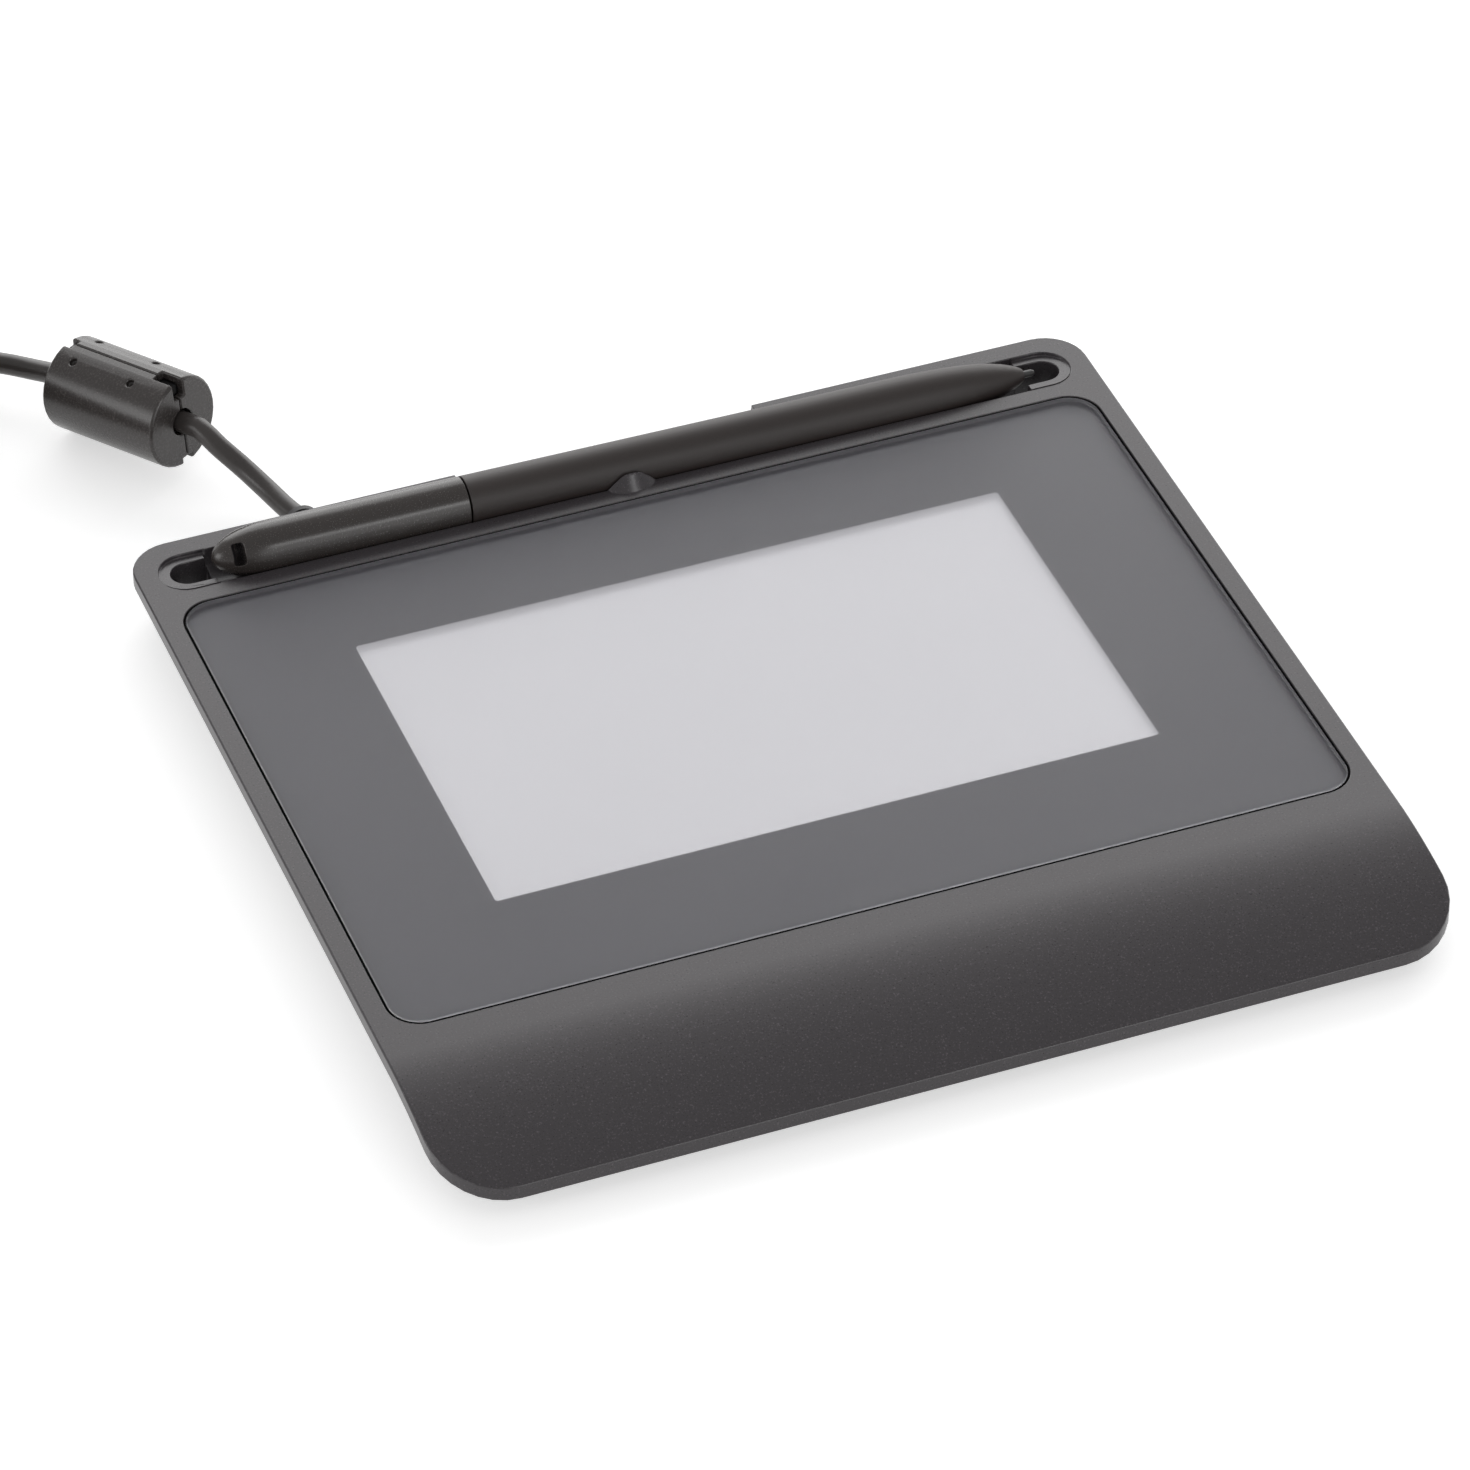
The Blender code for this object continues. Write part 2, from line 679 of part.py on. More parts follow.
pen_frame = Matrix.Translation((0, pen_y, pen_z)) @ Matrix.Rotation(PEN_TILT, 4, 'Y')
lengthwise = Matrix.Rotation(math.pi / 2, 4, 'Y')
ferrite_frame = (Matrix.Translation((ferrite_x, ferrite_y, ferrite_z)) @ Matrix.Rotation(FERRITE_YAW, 4, 'Z')
                 @ Matrix.Rotation(FERRITE_PITCH, 4, 'Y'))
screw_places = [(side * (glass_width / 2 - SCREW_INSET_X), glass_y + end * (glass_depth / 2 - SCREW_INSET_Y))
                for side in (-1, 1) for end in (-1, 1)]
back_foot_x = pad_width / 2 - FOOT_BACK_INSET
front_foot_x = pad_width / 2 - FOOT_FRONT_INSET
foot_places = {
    "foot_back_left": (-back_foot_x, back_y - FOOT_BACK_MARGIN),
    "foot_back_right": (back_foot_x, back_y - FOOT_BACK_MARGIN),
    "foot_front_left": (-front_foot_x, front_y + FOOT_FRONT_MARGIN),
    "foot_front_right": (front_foot_x, front_y + FOOT_FRONT_MARGIN),
}
cable_axis = Matrix.Translation((exit_x, 0, exit_z)) @ Matrix.Rotation(-math.pi / 2, 4, 'X')


# Top housing: a moulded deck with the glass bed, the palm rest and the pen tray


def slot_shape(name, side, radius, low, high, start=tray_half - SEAT_GAP, end=slot_centre_x):
    return slab(name, [obround(side * start, side * end, pen_y, radius)], low, high)


def build_top_housing():
    top = side_solid("top_housing", 0, bottom_lower=RIM_HEIGHT)
    keep_inside(top, pad_plan("pad_outline", 0, -OVERRUN, pad_height + OVERRUN))
    round_edges(top, EDGE_ROUND, EDGE_STEPS)

    hollow = side_solid("deck_hollow", DECK_THICKNESS, bottom=-OVERRUN)
    keep_inside(hollow, pad_plan("deck_hollow_outline", RIM_WIDTH, -2 * OVERRUN, pad_height + OVERRUN))
    cut(top, hollow)

    bed_radius = recess_radius + BED_WALL
    bed_outline = rounded_rectangle((0, glass_y), recess_width + 2 * BED_WALL, bed_depth,
                                    bed_radius, bed_radius)
    join(top, slab("glass_bed", [bed_outline], bed_bottom, deck_z - DECK_THICKNESS / 2))

    tray_body = rod("tray_body", tray_radius + TRAY_WALL, -tray_half - TRAY_WALL,
                    tray_half + TRAY_WALL, pen_frame @ lengthwise)
    under_deck = box("under_deck", (0, pen_y, deck_z / 2 - DECK_THICKNESS / 4),
                     (pad_width, 4 * tray_radius, deck_z - DECK_THICKNESS / 2))
    keep_inside(tray_body, under_deck)
    join(top, tray_body)
    for side, hand in ((-1, "left"), (1, "right")):
        join(top, slot_shape("collar_" + hand, side, SLOT_RADIUS + SLOT_COLLAR,
                             floor_top + SEAT_GAP, deck_z - DECK_THICKNESS / 2,
                             tray_half - SLOT_COLLAR))
    post_radius = SCREW_SHANK_RADIUS + SEAT_GAP + POST_WALL
    for index, (x, y) in enumerate(screw_places):
        join(top, rod("post_%d" % index, post_radius, bed_bottom - POST_HEIGHT,
                      bed_bottom + BED_THICKNESS / 2, Matrix.Translation((x, y, 0)), ROUND_STEPS // 2))

    lug_y = pen_y - LUG_SETBACK
    join(top, rod("tray_lug", LUG_BASE_RADIUS, deck_z - DECK_THICKNESS / 2, deck_z + LUG_HEIGHT,
                  Matrix.Translation((0, lug_y, 0)), top_radius=LUG_TOP_RADIUS))

    recess = rounded_rectangle((0, glass_y), recess_width, recess_depth, recess_radius, recess_radius)
    cut(top, slab("glass_recess", [recess], bed_top, pad_height + OVERRUN))
    opening_width = display_width + 2 * DISPLAY_CLEARANCE
    opening_depth = display_depth + 2 * DISPLAY_CLEARANCE
    cut(top, box("display_opening", (0, display_y, bed_bottom),
                 (opening_width, opening_depth, 4 * BED_THICKNESS)))

    trough = (arc(0, 0, tray_radius, -math.pi, 0, ROUND_STEPS // 2)
              + [(tray_radius, 2 * tray_radius), (-tray_radius, 2 * tray_radius)])
    cut(top, slab("tray_trough", [trough], -tray_half, tray_half, pen_frame @ ALONG_X))
    shelf_slope = math.asin(SHELF_DEPTH / (2 * tray_radius))
    for side, hand in ((-1, "left"), (1, "right")):
        cut(top, slot_shape("slot_" + hand, side, SLOT_RADIUS, -OVERRUN, pad_height + OVERRUN))
        hinge = Matrix.Translation((0, pen_y - tray_radius, deck_z))
        tilt = hinge @ Matrix.Rotation(-shelf_slope, 4, 'X') @ hinge.inverted()
        shelf = slot_shape("shelf_" + hand, side, SHELF_RADIUS, deck_z, pad_height + 2 * OVERRUN,
                           end=shelf_centre_x)
        shelf.matrix_world = tilt @ shelf.matrix_world
        cut(top, shelf)
    for index, (x, y) in enumerate(screw_places):
        cut(top, rod("post_hole_%d" % index, SCREW_SHANK_RADIUS + SEAT_GAP,
                     bed_bottom - POST_HEIGHT - OVERRUN, bed_bottom + BED_THICKNESS / 4,
                     Matrix.Translation((x, y, 0)), ROUND_STEPS // 2))

    floor_z = deck_z - NOTCH_DEPTH
    half = NOTCH_LENGTH / 2
    corner = math.pi / 2
    notch = ([(half, pad_height + OVERRUN), (-half, pad_height + OVERRUN)]
             + arc(-half + NOTCH_ROUND, floor_z + NOTCH_ROUND, NOTCH_ROUND, 2 * corner, 3 * corner, 4)
             + arc(half - NOTCH_ROUND, floor_z + NOTCH_ROUND, NOTCH_ROUND, 3 * corner, 4 * corner, 4))
    cut(top, slab("finger_notch", [notch], -back_y - OVERRUN, -pen_y - tray_radius / 2, ALONG_Y))
    shade_round(top)
    return add_part(top, plastic("top_housing", (0.19, 0.19, 0.20), 0.55))


# Bottom housing: a tray tucked in under the rim


def build_bottom_housing():
    under_rim = RIM_HEIGHT + SEAT_GAP
    bottom = side_solid("bottom_housing", under_rim, bottom=-OVERRUN)
    keep_inside(bottom, leaning_plan("base_outline", 0, FOOT_STAND, pad_height))
    round_edges(bottom, BASE_ROUND)
    cut(bottom, leaning_plan("base_hollow", BASE_WALL, floor_top, pad_height + OVERRUN))
    # The back wall stays clear of the tray
    tray_relief = tray_radius + TRAY_WALL + SEAT_GAP
    cut(bottom, rod("tray_relief", tray_relief, -tray_half - TRAY_WALL, tray_half + TRAY_WALL,
                    pen_frame @ lengthwise))
    # The side walls stop below the glass bed, which is nearly as wide as the pad
    relief_low = bed_bottom - SEAT_GAP
    cut(bottom, box("bed_relief", (0, glass_y, (relief_low + pad_height) / 2),
                    (pad_width, bed_depth + 2 * SEAT_GAP, pad_height - relief_low)))

    boss_radius = SCREW_HEAD_RADIUS + SEAT_GAP + BASE_WALL / 2
    boss_top = bed_bottom - POST_HEIGHT - SEAT_GAP
    seat_z = FOOT_STAND + SCREW_HEAD_SINK + SCREW_HEAD_HEIGHT + SEAT_GAP
    for index, (x, y) in enumerate(screw_places):
        spot = Matrix.Translation((x, y, 0))
        join(bottom, rod("boss_%d" % index, boss_radius, FOOT_STAND + BASE_FLOOR / 2, boss_top,
                         spot, ROUND_STEPS // 2))
        cut(bottom, rod("counterbore_%d" % index, SCREW_HEAD_RADIUS + SEAT_GAP, -OVERRUN, seat_z,
                        spot, ROUND_STEPS // 2))
        cut(bottom, rod("screw_hole_%d" % index, SCREW_SHANK_RADIUS + SEAT_GAP, 0, pad_height,
                        spot, ROUND_STEPS // 2))
    for hand, side in (("left", -1), ("right", 1)):
        spot = Matrix.Translation((side * board_boss_x, board_y, 0))
        join(bottom, rod("board_boss_" + hand, BOARD_BOSS_RADIUS, FOOT_STAND + BASE_FLOOR / 2,
                         board_bottom - SEAT_GAP, spot, ROUND_STEPS // 2))
        cut(bottom, rod("board_boss_hole_" + hand, BOARD_HOLE_RADIUS, floor_top - BASE_FLOOR / 4,
                        pad_height, spot, ROUND_STEPS // 2))
        join(bottom, box("rib_" + hand,
                         (side * (display_width / 2 - RIB_FROM_SIDE), display_y,
                          (FOOT_STAND + BASE_FLOOR / 2 + shield_bottom - SEAT_GAP) / 2),
                         (RIB_WIDTH, display_depth - 2 * RIB_END_MARGIN,
                          shield_bottom - SEAT_GAP - FOOT_STAND - BASE_FLOOR / 2)))
        cut(bottom, slot_shape("floor_slot_" + hand, side, SLOT_RADIUS + SEAT_GAP, -OVERRUN, pad_height))
    for name, (x, y) in foot_places.items():
        cut(bottom, rod("pocket_" + name, FOOT_RADIUS + SEAT_GAP, -OVERRUN, FOOT_STAND + FOOT_POCKET,
                        Matrix.Translation((x, y, 0))))
    join(bottom, rod("cable_boss", cable_boss_radius, exit_wall_y - BASE_WALL / 2, back_y - BASE_INSET,
                     cable_axis))
    cut(bottom, rod("cable_hole", RELIEF_NECK_RADIUS + SEAT_GAP, relief_inner_y - OVERRUN,
                    back_y + OVERRUN, cable_axis))
    shade_round(bottom)
    return add_part(bottom, plastic("bottom_housing", (0.045, 0.044, 0.045), 0.6))


def build_feet_and_screws():
    rubber = FOOT_STAND + FOOT_POCKET - SEAT_GAP
    profile = [(0, rubber), (FOOT_RADIUS, rubber), (FOOT_RADIUS, FOOT_ROUND),
               (FOOT_RADIUS - FOOT_ROUND, 0), (0, 0)]
    for name, (x, y) in foot_places.items():
        foot = turned(name, profile, Matrix.Translation((x, y, 0)))
        shade_round(foot)
        add_part(foot, plastic(name, (0.03, 0.03, 0.03), 0.9))
    head_low = FOOT_STAND + SCREW_HEAD_SINK
    head_high = head_low + SCREW_HEAD_HEIGHT
    tip = bed_bottom - POST_HEIGHT + SCREW_BITE
    screw = [(0, tip), (SCREW_SHANK_RADIUS, tip), (SCREW_SHANK_RADIUS, head_high),
             (SCREW_HEAD_RADIUS, head_high), (SCREW_HEAD_RADIUS, head_low), (0, head_low)]
    for index, (x, y) in enumerate(screw_places):
        made = turned("case_screw_%d" % (index + 1), screw, Matrix.Translation((x, y, 0)),
                      ROUND_STEPS // 2)
        shade_round(made)
        add_part(made, plastic(made.name, (0.55, 0.55, 0.56), 0.35, 1.0))


# Cover glass, printed film, adhesive frame and the display stack under it


def frame_slab(name, outer, inner, low, high):
    return slab(name, [outer, inner[::-1]], low, high)


def build_display():
    glass_outline = rounded_rectangle((0, glass_y), glass_width, glass_depth,
                                      GLASS_CORNER_RADIUS, GLASS_CORNER_RADIUS)
    glass = slab("cover_glass", [glass_outline], glass_bottom, pad_height)
    round_edges(glass, GLASS_PROUD, 1, math.radians(60))
    shade_round(glass)
    add_part(glass, plastic("cover_glass", (0.155, 0.152, 0.165), 0.35))

    film_outer = rounded_rectangle((0, glass_y), glass_width - 2 * FILM_MARGIN,
                                   glass_depth - 2 * FILM_MARGIN,
                                   GLASS_CORNER_RADIUS - FILM_MARGIN, GLASS_CORNER_RADIUS - FILM_MARGIN)
    window = rounded_rectangle((0, window_y), WINDOW_WIDTH, WINDOW_DEPTH, FILM_MARGIN, FILM_MARGIN, 2)
    film = frame_slab("bezel_film", film_outer, window, film_bottom, film_top)
    add_part(film, plastic("bezel_film", (0.155, 0.152, 0.165), 0.6))

    inner_radius = max(GLASS_CORNER_RADIUS - ADHESIVE_WIDTH, FILM_MARGIN)
    adhesive_inner = rounded_rectangle((0, glass_y), glass_width - 2 * (FILM_MARGIN + ADHESIVE_WIDTH),
                                       glass_depth - 2 * (FILM_MARGIN + ADHESIVE_WIDTH),
                                       inner_radius, inner_radius, 2)
    adhesive = frame_slab("glass_adhesive", film_outer, adhesive_inner, adhesive_bottom, adhesive_top)
    add_part(adhesive, plastic("glass_adhesive", (0.02, 0.02, 0.02), 0.8))

    def plate(name, width, depth, low, high, color, roughness, metallic=0.0):
        made = box(name, (0, display_y, (low + high) / 2), (width, depth, high - low))
        return add_part(made, plastic(name, color, roughness, metallic))

    plate("lcd_panel", display_width, display_depth, panel_bottom, panel_top, (0.60, 0.59, 0.60), 0.4)
    backlight = plate("lcd_backlight", display_width, display_depth, backlight_bottom, backlight_top,
                      (0.62, 0.62, 0.63), 0.4, 0.9)
    round_edges(backlight, FILM_MARGIN, 1, math.radians(80))
    plate("pen_sensor_board", sensor_width, sensor_depth, sensor_bottom, sensor_top, (0.02, 0.12, 0.05), 0.5)
    plate("sensor_shield", sensor_width, sensor_depth, shield_bottom, shield_top, (0.5, 0.5, 0.52), 0.4, 0.9)


# Main board with its header, ribbon sockets, processor and shield can


def ribbon(name, x, width, start_y, start_z, end_y, end_z):
    """A flat ribbon that leaves level, steps down and lands level."""
    half_bend = (start_y - end_y) / 4
    upper = [(start_y, start_z), (start_y - half_bend, start_z),
             (end_y + half_bend, end_z), (end_y, end_z)]
    lower = [(y, z - RIBBON_THICKNESS) for y, z in upper][::-1]
    return slab(name, [(upper + lower)[::-1]], x - width / 2, x + width / 2, ALONG_X)


def build_board():
    board = box("main_board", (0, board_y, (board_bottom + board_top) / 2),
                (board_width, BOARD_DEPTH, BOARD_THICKNESS))
    for side, hand in ((-1, "left"), (1, "right")):
        spot = Matrix.Translation((side * board_boss_x, board_y, 0))
        cut(board, rod("board_hole_" + hand, BOARD_HOLE_RADIUS, 0, pad_height, spot, ROUND_STEPS // 2))
        head_low = board_top + SEAT_GAP
        screw = [(0, head_low + BOARD_SCREW_HEAD_HEIGHT),
                 (BOARD_SCREW_HEAD_RADIUS, head_low + BOARD_SCREW_HEAD_HEIGHT),
                 (BOARD_SCREW_HEAD_RADIUS, head_low), (BOARD_SCREW_RADIUS, head_low),
                 (BOARD_SCREW_RADIUS, head_low - BOARD_SCREW_LENGTH), (0, head_low - BOARD_SCREW_LENGTH)]
        made = turned("board_screw_" + hand, screw, spot, ROUND_STEPS // 2)
        shade_round(made)
        add_part(made, plastic(made.name, (0.55, 0.55, 0.56), 0.35, 1.0))
    add_part(board, plastic("main_board", (0.02, 0.10, 0.05), 0.5))

    chip_low = board_top + SEAT_GAP
    back_edge = board_y + BOARD_DEPTH / 2
    socket_y = back_edge - SEAT_GAP - SOCKET_DEPTH / 2
    stage = [
        ("display_socket", DISPLAY_RIBBON_X, socket_y, DISPLAY_RIBBON_WIDTH, SOCKET_DEPTH, SOCKET_HEIGHT,
         (0.7, 0.68, 0.62)),
        ("sensor_socket", SENSOR_RIBBON_X, socket_y, SENSOR_RIBBON_WIDTH, SOCKET_DEPTH, SOCKET_HEIGHT,
         (0.7, 0.68, 0.62)),
        ("usb_header", -board_width / 2 + HEADER_END_MARGIN + HEADER_WIDTH / 2,
         back_edge - HEADER_DEPTH / 2 - SEAT_GAP, HEADER_WIDTH, HEADER_DEPTH, HEADER_HEIGHT,
         (0.8, 0.78, 0.72)),
        ("processor_chip", CHIP_X, board_y - BOARD_DEPTH / 4 + SEAT_GAP, CHIP_SIZE, CHIP_SIZE, CHIP_HEIGHT,
         (0.02, 0.02, 0.022)),
        ("shield_can", CAN_X, board_y - BOARD_DEPTH / 2 + CAN_DEPTH / 2 + SEAT_GAP,
         CAN_WIDTH, CAN_DEPTH, SOCKET_HEIGHT, (0.6, 0.6, 0.6)),
    ]
    for name, x, y, width, depth, height, color in stage:
        made = box(name, (x, y, chip_low + height / 2), (width, depth, height))
        add_part(made, plastic(name, color, 0.5))

    landing = board_y + BOARD_DEPTH / 2 + SEAT_GAP
    display_ribbon = ribbon("display_ribbon", DISPLAY_RIBBON_X, DISPLAY_RIBBON_WIDTH - 2 * RIB_WIDTH,
                            display_y - display_depth / 2 - SEAT_GAP,
                            backlight_bottom + BACKLIGHT_THICKNESS / 2,
                            landing, chip_low + SOCKET_HEIGHT / 2)
    add_part(display_ribbon, plastic("display_ribbon", (0.45, 0.24, 0.05), 0.4))
    sensor_ribbon = ribbon("sensor_ribbon", SENSOR_RIBBON_X, SENSOR_RIBBON_WIDTH - 2 * RIB_WIDTH,
                           display_y - sensor_depth / 2 - SEAT_GAP, sensor_top - SENSOR_THICKNESS / 4,
                           landing, chip_low + SOCKET_HEIGHT / 2)
    add_part(sensor_ribbon, plastic("sensor_ribbon", (0.45, 0.24, 0.05), 0.4))


# Pen: rear body, front barrel, nib and what senses the nib


def nose_radius(share_along):
    """Outer radius of the front barrel's nose, from the full barrel (0) to the tip (1)."""
    tip = NIB_RADIUS + NIB_CLEARANCE + NIB_WALL
    fullness_share = 6
    roundness_share = 0.87
    return tip + (pen_radius - tip) * (1 - share_along ** fullness_share) ** roundness_share


def build_pen():
    pen = empty("pen_axis", pen_frame)
    along = lengthwise

    seam = pen_seam_x - SEAT_GAP / 2
    spigot_end = pen_seam_x + PEN_SPIGOT_LENGTH
    spigot_floor = pen_seam_x - PEN_SPIGOT_LENGTH
    spigot = pen_bore - SEAT_GAP
    rear = [(0, spigot_floor), (PEN_SPIGOT_BORE, spigot_floor), (PEN_SPIGOT_BORE, spigot_end),
            (spigot, spigot_end), (spigot, seam), (pen_radius, seam)]
    rear_steps = 10
    for i in range(rear_steps):
        turn = math.pi / 2 * i / rear_steps
        rear.append((pen_radius * math.cos(turn), pen_rear_x + PEN_REAR_ROUND * (1 - math.sin(turn))))
    rear.append((0, pen_rear_x))
    body = turned("pen_rear_body", rear, along)
    hole_x = pen_rear_x + TETHER_HOLE_FROM_REAR
    hole = box("tether_hole", (hole_x, 0, 0),
               (TETHER_HOLE_WIDTH, 4 * pen_radius, TETHER_HOLE_HEIGHT),
               Matrix.Rotation(-TETHER_HOLE_ELEVATION, 4, 'X'))
    round_edges(hole, TETHER_HOLE_ROUND, 2)
    cut(body, hole)
    body.parent = pen
    hole.parent = pen
    shade_round(body)
    add_part(body, plastic("pen_rear_body", (0.055, 0.052, 0.05), 0.32))

    nose_start = pen_tip_x - PEN_NOSE_LENGTH
    nose_steps = 14
    tip_bore = NIB_RADIUS + NIB_CLEARANCE
    # The nose's points crowd towards the tip, where it curves most
    nose_shares = [1 - (1 - i / nose_steps) ** 2 for i in range(nose_steps + 1)]
    outside = [(nose_radius(share), nose_start + PEN_NOSE_LENGTH * share) for share in nose_shares]
    start = pen_seam_x + SEAT_GAP / 2
    inner_end = pen_tip_x - PEN_BORE_TAPER
    profile = outside[::-1] + [(pen_radius, start), (pen_bore, start), (pen_bore, inner_end),
                               (tip_bore, pen_tip_x - PEN_BORE_TAPER / 4), (tip_bore, pen_tip_x)]
    barrel = turned_ring("pen_front_barrel", profile, along)
    barrel.parent = pen
    shade_round(barrel)
    add_part(barrel, plastic("pen_front_barrel", (0.045, 0.042, 0.04), 0.55))

    nib_start = pen_nib_x - NIB_LENGTH
    nib_face_share = 0.6
    nib_dome_share = 0.2
    nib = turned("pen_nib", [(0, pen_nib_x),
                             (NIB_RADIUS * nib_face_share, pen_nib_x - NIB_RADIUS * nib_dome_share),
                             (NIB_RADIUS, pen_nib_x - NIB_RADIUS), (NIB_RADIUS, nib_start), (0, nib_start)],
                 along, ROUND_STEPS // 2)
    nib.parent = pen
    shade_round(nib)
    add_part(nib, plastic("pen_nib", (0.05, 0.05, 0.05), 0.45))

    antenna_high = pen_tip_x - ANTENNA_FROM_TIP
    antenna_low = antenna_high - ANTENNA_LENGTH
    core_bore = NIB_RADIUS + NIB_CLEARANCE
    core = turned_ring("pen_antenna_core",
                       [(ANTENNA_RADIUS, antenna_high), (ANTENNA_RADIUS, antenna_low),
                        (core_bore, antenna_low), (core_bore, antenna_high)], along, ROUND_STEPS // 2)
    winding_mid = (antenna_high + antenna_low) / 2
    winding_in = ANTENNA_RADIUS + NIB_CLEARANCE
    winding_out = pen_bore - PEN_INNER_CLEARANCE
    winding = turned_ring("pen_antenna_winding",
                          [(winding_out, winding_mid + WINDING_LENGTH / 2),
                           (winding_out, winding_mid - WINDING_LENGTH / 2),
                           (winding_in, winding_mid - WINDING_LENGTH / 2),
                           (winding_in, winding_mid + WINDING_LENGTH / 2)], along, ROUND_STEPS // 2)
    cap_high = nib_start - NIB_TRAVEL - 2 * SEAT_GAP
    cap_low = cap_high - SENSOR_CAP_LENGTH
    cap_radius = pen_bore - PEN_INNER_CLEARANCE
    cap = turned("pen_pressure_sensor", [(0, cap_high), (cap_radius, cap_high), (cap_radius, cap_low),
                                         (0, cap_low)], along, ROUND_STEPS // 2)
    board_high = cap_low - SEAT_GAP
    board_low = spigot_end + PEN_BOARD_SETBACK
    board = box("pen_board", ((board_high + board_low) / 2, 0, 0),
                (board_high - board_low, PEN_BOARD_WIDTH, PEN_BOARD_THICKNESS))
    inner = [(core, (0.05, 0.045, 0.045), 0.7), (winding, (0.5, 0.2, 0.08), 0.4),
             (cap, (0.6, 0.6, 0.6), 0.4), (board, (0.02, 0.10, 0.05), 0.5)]
    for piece, color, roughness in inner:
        piece.parent = pen
        if piece is not board:
            shade_round(piece)
        add_part(piece, plastic(piece.name, color, roughness))


# Cable: strain relief, inner lead, ferrite, free run, coil, tail and plug


def coil_place(turn):
    """A point of the cable's centre after so many turns, counted from the coil's start."""
    span = coil_pitch * COIL_TURNS_PER_LAYER
    outer = COIL_MID_RADIUS + span / 2
    layer = min(max(int(turn / COIL_TURNS_PER_LAYER), 0), COIL_LAYERS - 1)
    along = turn / COIL_TURNS_PER_LAYER - layer
    radius = outer - span * along if layer % 2 == 0 else outer - span * (1 - along)
    climbed = 0.0
    for step in range(1, COIL_LAYERS):
        share = (turn - step * COIL_TURNS_PER_LAYER + COIL_CLIMB_TURNS) / (2 * COIL_CLIMB_TURNS)
        share = min(max(share, 0), 1)
        climbed += share * share * (3 - 2 * share)
    angle = math.pi / 2 + 2 * math.pi * turn
    return Vector((coil_centre[0] + radius * math.cos(angle), coil_centre[1] + radius * math.sin(angle),
                   TIE_THICKNESS + SEAT_GAP + cord_radius + climbed * coil_pitch))


def coil_points():
    """Loops that spiral in and out in layers, climbing where the spiral reverses."""
    turns = COIL_LAYERS * COIL_TURNS_PER_LAYER
    count = round(turns * COIL_POINTS_PER_TURN)
    points = [coil_place(turns * i / count) for i in range(count + 1)]
    just = 1 / (COIL_POINTS_PER_TURN * COIL_POINTS_PER_TURN)
    lead_in = (coil_place(-just) - points[0]).normalized()
    lead_out = (coil_place(turns + just) - points[-1]).normalized()
    return [points[0] + lead_in * CORD_DIAMETER] + points + [points[-1] + lead_out * CORD_DIAMETER]


def least_gap(points):
    """Least free space between parts of the coil that aren't next to each other."""
    least = float("inf")
    skip = COIL_POINTS_PER_TURN // 2
    for i, a in enumerate(points):
        for b in points[i + skip:]:
            least = min(least, (a - b).length)
    return least - CORD_DIAMETER


